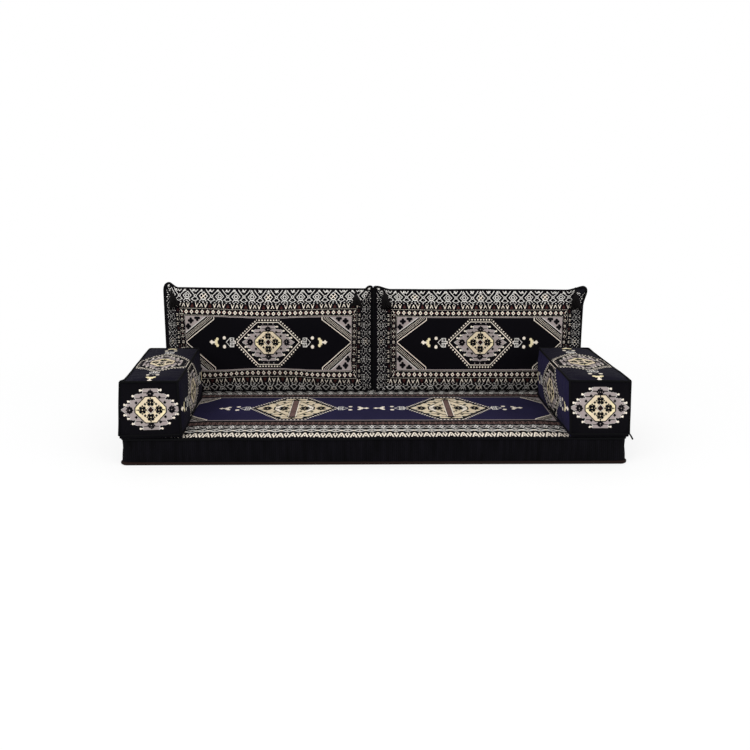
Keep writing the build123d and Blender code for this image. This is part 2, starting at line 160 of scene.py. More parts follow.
def fill_inputs(tree: bpy.types.NodeTree, node: bpy.types.Node, inputs: Inputs) -> None:
    """Fill a node's inputs, each with a number, a signal or another node's output."""
    for key, value in inputs.items():
        value = value.socket if isinstance(value, Signal) else value
        if isinstance(value, Socket):
            tree.links.new(value, node.inputs[key])
        else:
            node.inputs[key].default_value = value


def add_node(tree: bpy.types.NodeTree, kind: str, inputs: Inputs, operation: str = "") -> bpy.types.Node:
    """Add a shader node.

    Args:
        tree: The node tree.
        kind: The node's kind, without the word that all kinds start with.
        inputs: What goes into its inputs.
        operation: What a maths node does.

    Returns:
        The new node.
    """
    node = tree.nodes.new(f"ShaderNode{kind}")
    if operation:
        node.operation = operation
    fill_inputs(tree, node, inputs)
    return node


def new_material(name: str) -> tuple[bpy.types.Material, bpy.types.NodeTree, bpy.types.Node]:
    """Make a material and return it with its node tree and its shader."""
    material = bpy.data.materials.new(name)
    material.use_nodes = True
    return material, material.node_tree, material.node_tree.nodes["Principled BSDF"]


class Chart:
    """A cloth's material, drawn in shader nodes from its own flat coordinates in millimetres."""

    def __init__(self, name: str, stitch: float = 1.4) -> None:
        """Start a material and read the cloth's coordinates, stepped to whole stitches.

        Args:
            name: The material's name.
            stitch: Width of one woven stitch in millimetres.
        """
        self.material, self.tree, self.shader = new_material(name)
        cloth = self.node("UVMap", {})
        cloth.uv_map = "cloth"
        split = self.node("SeparateXYZ", {0: cloth.outputs["UV"]})
        self.fine_across = Signal(self, split.outputs["X"]) * 1000.0
        self.fine_up = Signal(self, split.outputs["Y"]) * 1000.0
        self.across = self.calc("SNAP", self.fine_across, stitch)
        self.up = self.calc("SNAP", self.fine_up, stitch)
        self.stitch = stitch

    def node(self, kind: str, inputs: Inputs, operation: str = "") -> bpy.types.Node:
        """Add a node to the cloth's tree."""
        return add_node(self.tree, kind, inputs, operation)

    def calc(self, operation: str, *values: Value) -> Signal:
        """Work a signal out from others with a Math node."""
        return Signal(self, self.node("Math", dict(enumerate(values)), operation).outputs[0])

    def dot(self, x: Signal, y: Signal, radius: float) -> Signal:
        """A round spot about the place where both signals are 0."""
        return self.calc("MULTIPLY_ADD", y, y, x * x) < radius * radius

    def length(self, x: Signal, y: Signal) -> Signal:
        """The distance from the place where both signals are 0."""
        return self.calc("SQRT", self.calc("MULTIPLY_ADD", y, y, x * x))

    def diamond(self, x: Signal, y: Signal, reach: float) -> Signal:
        """A diamond about the place where both signals are 0; both must be positive distances."""
        return (x + y) < reach

    def rows(self, at: Signal, span: float, table: Sequence[Sequence[float]], stepped: bool) -> list[Signal]:
        """Look numbers up along a signal in a ramp.

        Args:
            at: Where to look, from 0 to span.
            span: The signal's largest value, also the scale of the numbers in the table.
            table: Rows of a place and up to three numbers.
            stepped: Hold each row's numbers up to the next row instead of running between them.

        Returns:
            One signal for each of the three numbers.
        """
        ramp = self.node("ValToRGB", {0: at * (1 / span)})
        ramp.color_ramp.interpolation = "CONSTANT" if stepped else "LINEAR"
        elements = ramp.color_ramp.elements
        while len(elements) < len(table):
            elements.new(0.5)
        for element, (place, *numbers) in zip(elements, table):
            element.position = place / span
            padded = (list(numbers) + [0.0, 0.0])[:3]
            element.color = (padded[0] / span, padded[1] / span, padded[2] / span, 1.0)
        split = self.node("SeparateColor", {0: ramp.outputs["Color"]})
        return [Signal(self, split.outputs[number]) * span for number in range(3)]

    def lay(self, under: Union[Yarn, Socket], mask: Value, yarn: Yarn) -> Socket:
        """Weave a yarn over what is there, where a mask is 1.

        Args:
            under: The colour so far.
            mask: Where the yarn shows.
            yarn: The yarn on top.

        Returns:
            The new colour.
        """
        return self.choose(mask, yarn.value, under.value if isinstance(under, Yarn) else under)

    def choose(self, mask: Value, inner: object, outer: object) -> Socket:
        """Show one colour or drawing where a mask is 1 and another one elsewhere."""
        mix = self.node("Mix", {})
        mix.data_type = "RGBA"
        fill_inputs(self.tree, mix, {0: mask, 6: outer, 7: inner})
        return mix.outputs[2]


# Ornaments: each draws itself on a chart, over the colour that is there


@dataclass(frozen=True)
class Medallion:
    """The stepped medallion with hooked arms and a quatrefoil, in millimetres for a half width of 125."""

    centre: tuple[float, float] = (0.0, 0.0)
    stretch: tuple[float, float] = (1.0, 1.0)
    body: Yarn = Yarn.LILAC
    lobe: Yarn = Yarn.STRAW

    outline: tuple[tuple[float, float], ...] = (
        (0, 125), (4, 119), (13, 104), (19, 102), (24, 100), (25.5, 84), (27, 82), (29, 86), (34, 90), (38, 84),
        (40, 64), (43, 62), (46, 66), (54, 71), (58, 66), (61, 58), (63, 38), (65, 35), (68, 32), (74, 38),
        (79.5, 33), (80.5, 31), (81, 0),
    )
    tall: float = 81.0
    ramp_span: float = 128.0
    hooks: tuple[tuple[float, float, float], ...] = ((0, 109, 20), (26, 93, 33.4), (42, 74, 54), (64, 43.5, 74.7))

    def draw(self, chart: Chart, x: Signal, y: Signal, under: Socket) -> Socket:
        """Draw the medallion.

        Args:
            chart: The cloth.
            x: Place across, in millimetres.
            y: Place up, in millimetres.
            under: The colour so far.

        Returns:
            The colour with the medallion on it.
        """
        ax = x.off(self.centre[0]) * (1 / self.stretch[0])
        ay = y.off(self.centre[1]) * (1 / self.stretch[1])
        reach = chart.rows(ay, self.ramp_span, self.outline, stepped=False)[0]
        hook_x, hook_y = chart.rows(ay, self.ramp_span, self.hooks, stepped=True)[:2]
        low = ay < self.tall
        under = chart.lay(under, (ax < reach) & low, self.body)
        rim = (ax < reach) & (ax > reach - 2.2) & low
        under = chart.lay(under, rim, Yarn.CHALK)
        bar = ((ay - hook_y).off() < 1.6) & (ax < hook_x) & (ax > reach - 4.0)
        under = chart.lay(under, bar | chart.dot(ax - hook_x, ay - hook_y, 4.4), Yarn.CREAM)
        eyes = chart.diamond(ax.off(37.8), ay.off(48.0), 7.0) | chart.diamond(ax.off(59.0), ay.off(28.0), 7.0)
        lace = ((ay - hook_y + 9.0).off() < 1.6) & (ax > reach - 26.0) & (ax < reach - 3.0)
        under = chart.lay(under, eyes | (lace & low), Yarn.BLACK)

        outer_x = chart.calc("MAXIMUM", ax - 24.0, ay)
        outer_y = chart.calc("MINIMUM", ax, ay)
        under = self.rosette(chart, outer_x.off(62.0), outer_y, 1.15, under)

        slant = (ax + ay) * (1 / 71.0)
        lobed = chart.calc("MAXIMUM", chart.calc("MAXIMUM", ax * (1 / 61.0), ay * (1 / 50.0)), slant)
        under = chart.lay(under, lobed < 1.08, Yarn.BLACK)
        under = chart.lay(under, lobed < 1.0, Yarn.SAND)
        under = chart.lay(under, (lobed < 1.0) & (ax > 42.0), self.lobe)
        inner_x = chart.calc("MAXIMUM", ax - 5.0, ay)
        under = self.rosette(chart, inner_x.off(29.0), outer_y, 1.35, under)
        corner = chart.diamond(ax.off(23.0), ay.off(22.5), 6.0) | chart.diamond(inner_x.off(50.0), outer_y, 3.6)
        under = chart.lay(under, corner, Yarn.BLACK)
        under = chart.lay(under, chart.diamond(ax, ay, 18.5), Yarn.BLACK)
        under = chart.lay(under, chart.diamond(ax, ay, 16.5), Yarn.CREAM)
        return chart.lay(under, chart.diamond(ax, ay, 13.5), Yarn.UMBER)

    def rosette(self, chart: Chart, x: Signal, y: Signal, size: float, under: Socket) -> Socket:
        """Draw a dark rosette with a light eye about the place where both distances are 0."""
        petals = chart.dot(x - 5.2 * size, y - 5.2 * size, 5.0 * size)
        tips = chart.diamond(x.off(11.0 * size), y, 4.4) | chart.diamond(x, y.off(11.0 * size), 4.4)
        middle = chart.diamond(x, y, 7.5 * size) & ~chart.diamond(x, y, 2.6)
        return chart.lay(under, petals | tips | middle, Yarn.BLACK)


@dataclass(frozen=True)
class Hexagon:
    """The pearl-edged hexagon round a medallion, with a pendant on each of its two tips."""

    centre: tuple[float, float] = (0.0, 0.0)
    tip: float = 150.0
    shoulder: float = 50.0
    rise: float = 110.0
    medallion_stretch: tuple[float, float] = (0.98, 1.0)
    pendant_size: float = 1.0
    body: Yarn = Yarn.LILAC
    lobe: Yarn = Yarn.STRAW
    ladder: bool = False

    def draw(self, chart: Chart, x: Signal, y: Signal, under: Socket) -> Socket:
        """Draw the hexagon, its medallion and its pendants over the colour so far."""
        ax = x.off(self.centre[0])
        ay = y.off(self.centre[1])
        slope = self.rise / (self.tip - self.shoulder)
        length = math.hypot(slope, 1.0)
        slanted = (slope * self.tip - (ax * slope + ay)) * (1 / length)
        flat = self.rise - ay
        on_slant = slanted < flat
        inside = chart.calc("MINIMUM", slanted, flat)
        run = (ay * slope - ax) * (1 / length)
        along = run * on_slant + ax * ~on_slant
        if self.ladder:
            pearls = (along.fold(7.75) < 3.4) & ((inside + 5.5).off() < 5.5)
        else:
            pearls = chart.dot(along.fold(6.8), inside + 3.8, 3.4)
        under = chart.lay(under, pearls, Yarn.CREAM)
        under = chart.lay(under, inside > -0.3, Yarn.BLACK)
        if not self.ladder:
            under = chart.lay(under, (inside - 6.0).off() < 1.6, Yarn.CREAM)
            dots = chart.dot(ax, ay - (self.rise - 13.0), 2.8) | chart.dot(ax - 24.0, ay - (self.rise - 13.0), 2.8)
            under = chart.lay(under, dots, Yarn.LILAC)
        size = 1 / self.pendant_size
        under = self.pendant(chart, (ax - self.tip) * size, ay * size, under)
        within = Medallion(self.centre, self.medallion_stretch, self.body, self.lobe).draw(chart, x, y, under)
        if self.ladder:
            bars = (ax < 17.0) & (ay < 118.0)
            within = chart.lay(within, bars, Yarn.CREAM)
            within = chart.lay(within, bars & (ax < 13.2), Yarn.BLACK)
            within = chart.lay(within, bars & (ax < 11.6) & (ay.fold(9.0) < 6.4), Yarn.ROSE)
        return chart.choose(inside > (14.0 if self.ladder else 9.6), within, under)

    def pendant(self, chart: Chart, x: Signal, y: Signal, under: Socket) -> Socket:
        """Draw a pendant outwards from a tip: a lattice box, two spots and a fleur with a diamond end."""
        square = chart.calc("MAXIMUM", x.off(17.0), y.off(11.5))
        boxes = ((square - 7.6).off() < 1.9) | (square < 2.4)
        links = ((x - 4.0).off() < 5.0) & ((y - x * 0.9).off() < 1.8)
        point = ((x + y * 0.95 - 44.0).off() < 1.8) & (x > 26.0)
        under = chart.lay(under, boxes | links | point, Yarn.CHALK)
        under = chart.lay(under, chart.dot(x - 53.0, y - 19.5, 7.6), Yarn.CREAM)
        lobes = chart.dot(x - 86.0, y - 14.0, 6.8) | ((x.off(92.0) < 6.5) & (y < 11.5))
        tip = chart.diamond(x.off(113.0), y, 10.0) | ((x.off(102.0) < 5.0) & (y < 4.0))
        under = chart.lay(under, lobes, self.lobe)
        return chart.lay(under, tip, Yarn.CREAM)


class Motif(Enum):
    """The repeats that fill the rows of a border."""

    SCROLLS = "nested diamonds with eyes, arches and a row of spikes"
    DOTS = "a line of dots"
    DARTS = "hanging darts between open peaks and dark triangles"
    CHAIN = "eyed diamonds between two dashed rails"
    CUPS = "slim cups between tall peaks"
    LATTICE = "two wide zigzags that cross"
    RINGS = "slim rings joined by thin lines"


@dataclass(frozen=True)
class Row:
    """One row of a border: its motif, its start and end from the cloth's edge, and its repeat, in millimetres."""

    motif: Motif
    start: float
    end: float
    repeat: float
    light: Yarn = Yarn.CREAM
    dark: Yarn = Yarn.BLACK

    def draw(self, chart: Chart, along: Signal, depth: Signal, under: Socket) -> Socket:
        """Draw the row's repeat.

        Args:
            chart: The cloth.
            along: Place along the border.
            depth: Distance from the cloth's edge.
            under: The colour so far.

        Returns:
            The colour with the row on it.
        """
        draw, repeat, tall = {
            Motif.SCROLLS: (self.scrolls, 77.0, 54.0),
            Motif.DOTS: (self.dots, 18.0, 6.6),
            Motif.DARTS: (self.darts, 42.0, 19.0),
            Motif.CHAIN: (self.chain, 26.0, 35.0),
            Motif.CUPS: (self.cups, 49.0, 51.0),
            Motif.LATTICE: (self.lattice, 98.0, 39.0),
            Motif.RINGS: (self.rings, 48.0, 48.0),
        }[self.motif]
        # The height in the motif's own drawn size, from its outer to its inner side
        h = (depth - self.start) * (tall / (self.end - self.start))
        inside = (h > 0.0) & (h < tall)
        return draw(chart, along * (repeat / self.repeat), h, inside, under)

    def scrolls(self, chart: Chart, along: Signal, h: Signal, inside: Signal, under: Socket) -> Socket:
        """Draw nested diamonds with an eye at each crossing, arches inside and spikes outside."""
        a = along.fold(38.5)
        from_node = chart.length(a, h - 28.0)
        from_gap = chart.length(a - 38.5, h - 28.0)
        near_cross = along.fold(154.0) < 20.0
        spread = a + (h - 28.0).off()
        hatch = (spread.fold(9.6) < 2.1) & (h < 46.0) & (from_node > 11.0) & (from_gap > 9.0)
        cross = ((a - (h - 28.0).off()).off() < 2.4) & (from_node < 17.0) & near_cross
        eye = ((from_node - 7.2).off() < 1.7) & ~near_cross
        ring = (from_gap - 5.2).off() < 1.6
        from_arch = chart.length(a, h - 58.0)
        arch = ((from_arch - 16.0).off() < 1.6) | (from_arch < 7.0)
        swag = ((chart.length(a - 38.5, h - 36.0) - 15.5).off() < 1.4) & (h > 44.0)
        beat = along.fold(20.0)
        spikes = ((beat < 1.4) | ((beat - h + 1.0).off() < 1.4)) & (h < 8.5)
        marks = hatch | eye | ring | arch | swag | spikes
        under = chart.lay(under, inside & marks, self.light)
        return chart.lay(under, inside & cross, Yarn.CREAM)

    def dots(self, chart: Chart, along: Signal, h: Signal, inside: Signal, under: Socket) -> Socket:
        """Draw a line of dots."""
        return chart.lay(under, inside & chart.dot(along.fold(9.0), h - 3.3, 2.7), self.light)

    def darts(self, chart: Chart, along: Signal, h: Signal, inside: Signal, under: Socket) -> Socket:
        """Draw darts that hang inwards, with an open peak or a dark triangle between them by turns."""
        a = along.fold(21.0)
        far = a.off(21.0)
        flank = (19.0 - h) * 0.33
        dart = ((a - flank).off() < 1.4) | ((a < flank) & (h > 9.0))
        peak = ((far - (h - 1.0) * 0.42).off() < 1.6) & (h > 1.0) & (h < 17.0)
        patch = (far < (h - 1.0) * 0.5) & (h < 18.0)
        turns = (along - 21.0).fold(42.0) < 21.0
        under = chart.lay(under, inside & patch & ~turns, self.dark)
        return chart.lay(under, inside & (dart | (peak & turns)), self.light)

    def chain(self, chart: Chart, along: Signal, h: Signal, inside: Signal, under: Socket) -> Socket:
        """Draw eyed diamonds between two dashed rails."""
        a = along.fold(13.0)
        middle = (h - 17.5).off()
        far = a.off(13.0)
        spread = a * 1.2 + middle
        ring = (spread < 10.5) & (spread > 4.6)
        rails = ((middle - 15.2).off() < 0.9) & (a.fold(3.25) < 1.9)
        under = chart.lay(under, inside & (far * 1.2 + middle < 6.0), self.dark)
        return chart.lay(under, inside & (ring | rails), self.light)

    def cups(self, chart: Chart, along: Signal, h: Signal, inside: Signal, under: Socket) -> Socket:
        """Draw slim pointed cups that open inwards, between tall peaks with a dot inside."""
        a = along.fold(24.5)
        far = a.off(24.5)
        shape = a * (1 / 11.5) + (h - 27.0).off() * (1 / 27.0)
        cup = (shape < 1.0) & (shape > 0.42) & ~((a < 3.0) & (h > 36.0))
        peak = ((far - (46.0 - h) * 0.28).off() < 3.3) & ((h - 24.0).off() < 22.0)
        return chart.lay(under, inside & (cup | peak | chart.dot(far, (h - 14.0) * 0.5, 3.4)), self.light)

    def lattice(self, chart: Chart, along: Signal, h: Signal, inside: Signal, under: Socket) -> Socket:
        """Draw two wide zigzags that cross, with a bright knot on each crossing."""
        a = along.fold(49.0)
        zigzags = ((h - 5.0 - a * 0.6).off() < 4.0) | ((h - 34.0 + a * 0.6).off() < 4.0)
        under = chart.lay(under, inside & zigzags, self.light)
        knots = chart.diamond(a.off(24.5), (h - 19.5).off(), 8.0) | chart.diamond(a.fold(24.5), (h - 19.5).off(), 5.0)
        return chart.lay(under, inside & knots, Yarn.CREAM)

    def rings(self, chart: Chart, along: Signal, h: Signal, inside: Signal, under: Socket) -> Socket:
        """Draw slim rings joined by thin bent lines, with a dark patch between them."""
        a = along.fold(24.0)
        far = a.off(24.0)
        middle = (h - 24.0).off()
        shape = a * (1 / 10.5) + middle * (1 / 22.0)
        ring = (shape < 1.0) & (shape > 0.42)
        lines = ((middle - far * 0.6 - 6.0).off() < 2.3) & (a > 7.0)
        under = chart.lay(under, inside & (far * 1.2 + middle < 9.0), self.dark)
        return chart.lay(under, inside & (ring | lines), self.light)


@dataclass(frozen=True)
class Rug:
    """A whole rug-like cloth: a border of rows round a field with pointed ends and one or more hexagons."""

    half_width: float
    half_height: float
    border_side: float
    border_ends: float
    rows: tuple[Row, ...]
    ground: Yarn
    hexagons: tuple[Hexagon, ...]
    shoulder: float
    shift_x: float = 0.0
    shift_y: float = 0.0
    tips_meet: bool = True
    line: float = 3.2
    # Width in millimetres, out of every 3.5, of the black threads of painted shade on the end borders; 0 leaves them
    # off
    end_shade_threads: float = 1.7
    corner_spots: tuple[tuple[float, float], ...] = ((25.0, 18.0), (56.0, 6.0), (12.0, 45.0))

    def draw(self, chart: Chart) -> Socket:
        """Draw the whole cloth and return its colour."""
        x = chart.across - self.shift_x
        y = chart.up - self.shift_y
        ax = x.off()
        ay = y.off()
        to_end = (self.half_width - ax) * (self.border_side / self.border_ends)
        to_side = self.half_height - ay
        depth = chart.calc("MINIMUM", to_end, to_side)
        on_side = to_side < to_end
        along = x * on_side + y * ~on_side

        field_x = self.half_width - self.border_ends
        field_y = self.half_height - self.border_side
        colour = chart.lay(self.ground, 0.0, self.ground)
        colour = self.corners(chart, ax, ay, field_x, field_y, colour)
        for hexagon in self.hexagons:
            colour = hexagon.draw(chart, x, y, colour)
        colour = chart.lay(colour, depth < self.border_side, Yarn.LILAC)
        colour = chart.lay(colour, depth < self.border_side - self.line, Yarn.BLACK)
        for row in self.rows:
            colour = row.draw(chart, along, depth, colour)
        # Painted shade: black threads over the end borders darken them where the cloth turns away round the cushion's
        # sides
        painted_shade_threads = (depth < self.border_side - self.line) & ~on_side & (along.fold(3.5) < self.end_shade_threads)
        return chart.lay(colour, painted_shade_threads, Yarn.BLACK)

    def corners(self, chart: Chart, ax: Signal, ay: Signal, field_x: float, field_y: float, under: Socket) -> Socket:
        """Draw the four corner pieces that leave the field with pointed or clipped ends."""
        run = field_x - self.shoulder
        rise = field_y * (0.9 if self.tips_meet else 0.45)
        length = math.hypot(run, rise)
        start_y = 0.0 if self.tips_meet else field_y * 0.5
        slanted = (ax - field_x) * (rise / length) + (ay - start_y) * (run / length)
        out = chart.calc("MINIMUM", slanted, ax - self.shoulder)
        along = (ax * run - ay * rise) * (1 / length)
        under = chart.lay(under, out > 0.0, Yarn.CREAM)
        under = chart.lay(under, out > self.line, Yarn.BLACK)
        spots = (along.fold(3.5) < 1.5) & ((out - 12.5).fold(3.1) < 1.5) & (out > 9.5) & (out < 27.5)
        under = chart.lay(under, spots, Yarn.CREAM)
        under = chart.lay(under, out > 33.5, Yarn.CHALK)
        under = chart.lay(under, out > 36.5, Yarn.LILAC)
        for spot_x, spot_y in self.corner_spots:
            dx = ax.off(field_x - spot_x)
            dy = ay.off(field_y - spot_y)
            petals = chart.dot(dx - 8.2, dy, 6.6) | chart.dot(dx, dy - 8.2, 6.6) | chart.diamond(dx, dy, 6.0)
            under = chart.lay(under, (out > 37.5) & petals, Yarn.BLACK)
        return under


# Finishes


def rib_bump(chart: Chart, height: Signal, strength: float, distance: float) -> None:
    """Press a height into a cloth's surface.

    Args:
        chart: The cloth.
        height: The height signal.
        strength: Strength of the bump.
        distance: Depth of the bump in metres.
    """
    bump = chart.node("Bump", {"Strength": strength, "Distance": distance, "Height": height})
    fill_inputs(chart.tree, chart.shader, {"Normal": bump.outputs["Normal"]})


def mottle(chart: Chart, scale: float, detail: float) -> Signal:
    """Cloudy unevenness from 0 to 1 on a piece's own place."""
    place = chart.node("TexCoord", {}).outputs["Object"]
    return Signal(chart, chart.node("TexNoise", {"Scale": scale, "Detail": detail, "Vector": place}).outputs["Fac"])


def shade(chart: Chart, colour: Socket, value: Signal) -> Socket:
    """Brighten or darken a colour by a signal around 1."""
    return chart.node("HueSaturation", {"Color": colour, "Value": value}).outputs["Color"]


@dataclass(frozen=True)
class Jacquard:
    """A woven figured cloth."""

    name: str
    rug: Union[Rug, None] = None
    hexagon: Union[Hexagon, None] = None
    medallion: Union[Medallion, None] = None
    ground: Yarn = Yarn.INDIGO
    turned: bool = False
    roughness: float = 0.95
    sheen: float = 0.01

    def material(self) -> bpy.types.Material:
        """Make the cloth's material."""
        chart = Chart(self.name)
        if self.rug:
            colour = self.rug.draw(chart)
        else:
            x, y = (chart.up, chart.across) if self.turned else (chart.across, chart.up)
            colour = chart.lay(self.ground, 0.0, self.ground)
            if self.hexagon:
                colour = self.hexagon.draw(chart, x, y, colour)
            if self.medallion:
                colour = self.medallion.draw(chart, x, y, colour)
        thread_across = chart.fine_across.fold(chart.stitch / 2)
        thread_up = chart.fine_up.fold(chart.stitch / 2)
        weave = (thread_across + thread_up) * (1 / chart.stitch)
        clouds = mottle(chart, 9.0, 3.0)
        colour = shade(chart, colour, weave * 0.28 + clouds * 0.5 + 0.61)
        fill_inputs(chart.tree, chart.shader, {
            "Base Color": colour, "Roughness": self.roughness, "Specular IOR Level": CLOTH_SPECULAR,
            "Sheen Weight": self.sheen, "Sheen Roughness": 0.5,
        })
        rib_bump(chart, weave, 0.5, 0.0006)
        return chart.material


@dataclass(frozen=True)
class PlainCloth:
    """A cloth of one yarn with ribs or a plain weave."""

    name: str
    dye: tuple[float, float, float, float]
    rib: float = 0.0
    rib_depth: float = 0.0015
    weave: float = 1.2
    sheen: float = 0.1
    roughness: float = 0.95
    clouds: float = 0.5

    def streaks(self, chart: Chart) -> Signal:
        """Uneven upright streaks, as pile that was stroked up and down leaves them."""
        place = chart.node("CombineXYZ", {0: chart.fine_across * 0.045, 1: chart.fine_up * 0.006}).outputs[0]
        return Signal(chart, chart.node("TexNoise", {"Scale": 1.0, "Detail": 4.0, "Vector": place}).outputs["Fac"])

    def material(self) -> bpy.types.Material:
        """Make the cloth's material."""
        chart = Chart(self.name)
        grain = (chart.fine_across.fold(self.weave / 2) + chart.fine_up.fold(self.weave / 2)) * (1 / self.weave)
        height = grain * 0.25
        light = grain * 0.2 + 0.65 + mottle(chart, 14.0, 4.0) * self.clouds
        if self.rib:
            wobble = mottle(chart, 22.0, 2.0) * 3.0
            rib = (chart.fine_across + wobble).fold(self.rib / 2) * (2 / self.rib)
            rounded = chart.calc("SQRT", rib)
            height = height + rounded
            # Painted light on the ribs: the colour is lightest on the crests and darkest in the grooves, a painted
            # highlight and painted shade on top of the bump
            light = light * (rounded * 0.7 + 0.2) * (self.streaks(chart) * 3.4 - 0.7)
        colour = chart.node("RGB", {})
        colour.outputs[0].default_value = self.dye
        fill_inputs(chart.tree, chart.shader, {
            "Base Color": shade(chart, colour.outputs[0], light), "Roughness": self.roughness,
            "Specular IOR Level": CLOTH_SPECULAR, "Sheen Weight": self.sheen,
        })
        rib_bump(chart, height, 0.7, self.rib_depth)
        return chart.material


@dataclass(frozen=True)
class ObjectGrain:
    """A finish with a fine grain on a piece's own place, for cord, thread, tape and metal."""

    name: str
    dye: tuple[float, float, float, float]
    grain_scale: float
    depth: float
    roughness: float
    metallic: float = 0.0
    specular: float = 0.08
    stretch: tuple[float, float, float] = (1.0, 1.0, 1.0)

    def material(self) -> bpy.types.Material:
        """Make the finish's material."""
        material, tree, shader = new_material(self.name)
        place = add_node(tree, "TexCoord", {}).outputs["Object"]
        mapping = add_node(tree, "Mapping", {"Scale": self.stretch, "Vector": place})
        noise = add_node(
            tree, "TexNoise", {"Scale": self.grain_scale, "Detail": 3.0, "Vector": mapping.outputs["Vector"]}
        )
        grain = noise.outputs["Fac"]
        ramp = add_node(tree, "ValToRGB", {"Fac": grain})
        for element, position, share in zip(ramp.color_ramp.elements, (0.3, 0.75), (0.55, 1.35)):
            element.position = position
            element.color = (*(share * part for part in self.dye[:3]), 1.0)
        bump = add_node(tree, "Bump", {"Strength": 0.6, "Distance": self.depth, "Height": grain})
        fill_inputs(tree, shader, {
            "Base Color": ramp.outputs["Color"], "Normal": bump.outputs["Normal"], "Roughness": self.roughness,
            "Metallic": self.metallic, "Specular IOR Level": self.specular,
        })
        return material


BACK_RUG = Rug(
    half_width=489.0,
    half_height=246.0,
    border_side=128.5,
    border_ends=99.5,
    rows=(
        Row(Motif.SCROLLS, 3.0, 57.0, 77.0, Yarn.CHALK),
        Row(Motif.DOTS, 58.0, 64.6, 18.0, Yarn.CHALK),
        Row(Motif.DARTS, 66.5, 85.5, 42.0, Yarn.CREAM, Yarn.BRICK),
        Row(Motif.CHAIN, 88.5, 123.5, 25.7, Yarn.CREAM, Yarn.BRICK),
    ),
    ground=Yarn.BLACK,
    hexagons=(Hexagon((0.0, 1.0), 155.0, 50.5, 104.0, (1.0, 1.0)),),
    shoulder=253.0,
    shift_x=3.0,
    shift_y=-5.5,
)
SEAT_RUG = Rug(
    half_width=992.0,
    half_height=378.0,
    border_side=211.0,
    border_ends=211.0,
    rows=(
        Row(Motif.CUPS, 3.0, 54.0, 49.0, Yarn.CREAM),
        Row(Motif.LATTICE, 56.0, 95.0, 98.0, Yarn.CHALK),
        Row(Motif.RINGS, 97.0, 145.0, 48.0, Yarn.CHALK, Yarn.BRICK),
        Row(Motif.RINGS, 147.0, 190.0, 24.5, Yarn.ROSE, Yarn.BRICK),
    ),
    ground=Yarn.INDIGO,
    hexagons=tuple(
        Hexagon((middle, 0.0), 186.0, 50.0, 158.0, (1.38, 1.86), 1.2, Yarn.SAND, Yarn.CREAM, ladder=True)
        for middle in (-342.5, 342.5)
    ),
    shoulder=697.0,
    shift_x=-11.5,
    shift_y=8.0,
    tips_meet=False,
    line=6.0,
    end_shade_threads=0.0,
)


class Finishes:
    """Every material of the sofa, made once."""

    def __init__(self) -> None:
        """Make the materials."""
        self.back_cloth = Jacquard("back_rug_cloth", rug=BACK_RUG).material()
        self.seat_cloth = Jacquard("seat_rug_cloth", rug=SEAT_RUG).material()
        crosswise = Hexagon((-8.0, 0.0))
        lengthwise = Hexagon()
        self.arm_cloths = {
            side: (
                # The arm tops take the darkened indigo ground: painted shade that makes the tops darker than the
                # plain indigo cloth
                Jacquard(f"{name}_arm_top_cloth", hexagon=crosswise, ground=Yarn.NIGHT, turned=True).material(),
                Jacquard(f"{name}_arm_side_cloth", hexagon=lengthwise, ground=ground).material(),
                Jacquard(
                    f"{name}_arm_front_cloth", medallion=Medallion(centre, (0.88, 1.02)), ground=Yarn.BLACK
                ).material(),
            )
            for side, name, ground, centre in (
                # The left arm's sides take the darkened indigo ground and the right arm's the plain indigo: the same
                # cloth painted darker on the left as painted shade
                (-1, "left", Yarn.NIGHT, (6.0, 6.2)), (1, "right", Yarn.INDIGO, (-2.0, 8.8)),
            )
        }
        self.chenille = PlainCloth("ribbed_chenille", linear(7, 6, 10), rib=8.0, sheen=0.01, clouds=0.9).material()
        self.lining = PlainCloth("lining_cloth", linear(18, 17, 23), sheen=0.02).material()
        self.piping = ObjectGrain("black_piping_cloth", linear(6, 6, 8), 900.0, 0.0005, 0.9).material()
        self.welt = ObjectGrain("reddish_brown_welt", linear(30, 19, 16), 500.0, 0.0008, 0.9).material()
        self.thread = ObjectGrain(
            "tassel_thread", linear(9, 7, 8), 700.0, 0.0006, 0.6, stretch=(1.0, 1.0, 0.2)
        ).material()
        self.tape = ObjectGrain("zip_tape_weave", linear(26, 25, 33), 1200.0, 0.0003, 0.9).material()
        self.coil = ObjectGrain("zip_coil_nylon", linear(38, 38, 42), 400.0, 0.0001, 0.45, specular=0.3).material()
        self.metal = ObjectGrain(
            "zip_lacquered_metal", linear(92, 92, 96), 300.0, 0.0001, 0.35, 0.85, specular=0.3
        ).material()


# Mesh tools


def finish_mesh(name: str, shape: Shape, materials: Sequence[bpy.types.Material]) -> bpy.types.Object:
    """Turn a bmesh into a smooth shaded object at the origin.

    Args:
        name: The piece's name.
        shape: The finished bmesh, in the row frame; it is freed.
        materials: Materials in the order of the faces' material numbers.

    Returns:
        The new object.
    """
    mesh = bpy.data.meshes.new(name)
    shape.to_mesh(mesh)
    shape.free()
    for material in materials:
        mesh.materials.append(material)
    mesh.shade_smooth()
    piece = bpy.data.objects.new(name, mesh)
    bpy.context.scene.collection.objects.link(piece)
    return piece


def smoothstep(value: float) -> float:
    """Ease a value between 0 and 1."""
    value = min(max(value, 0.0), 1.0)
    return value * value * (3 - 2 * value)


def ripple(*phases: float) -> float:
    """A fixed uneven wave between about -1 and 1 from a few phases."""
    total = 0.0
    for number, phase in enumerate(phases):
        total += math.sin(phase * (1.0 + 0.37 * number) + 1.7 * number)
        total += 0.5 * math.sin(phase * (2.3 + 0.21 * number) + 0.9 * number)
    return total / (1.5 * len(phases))


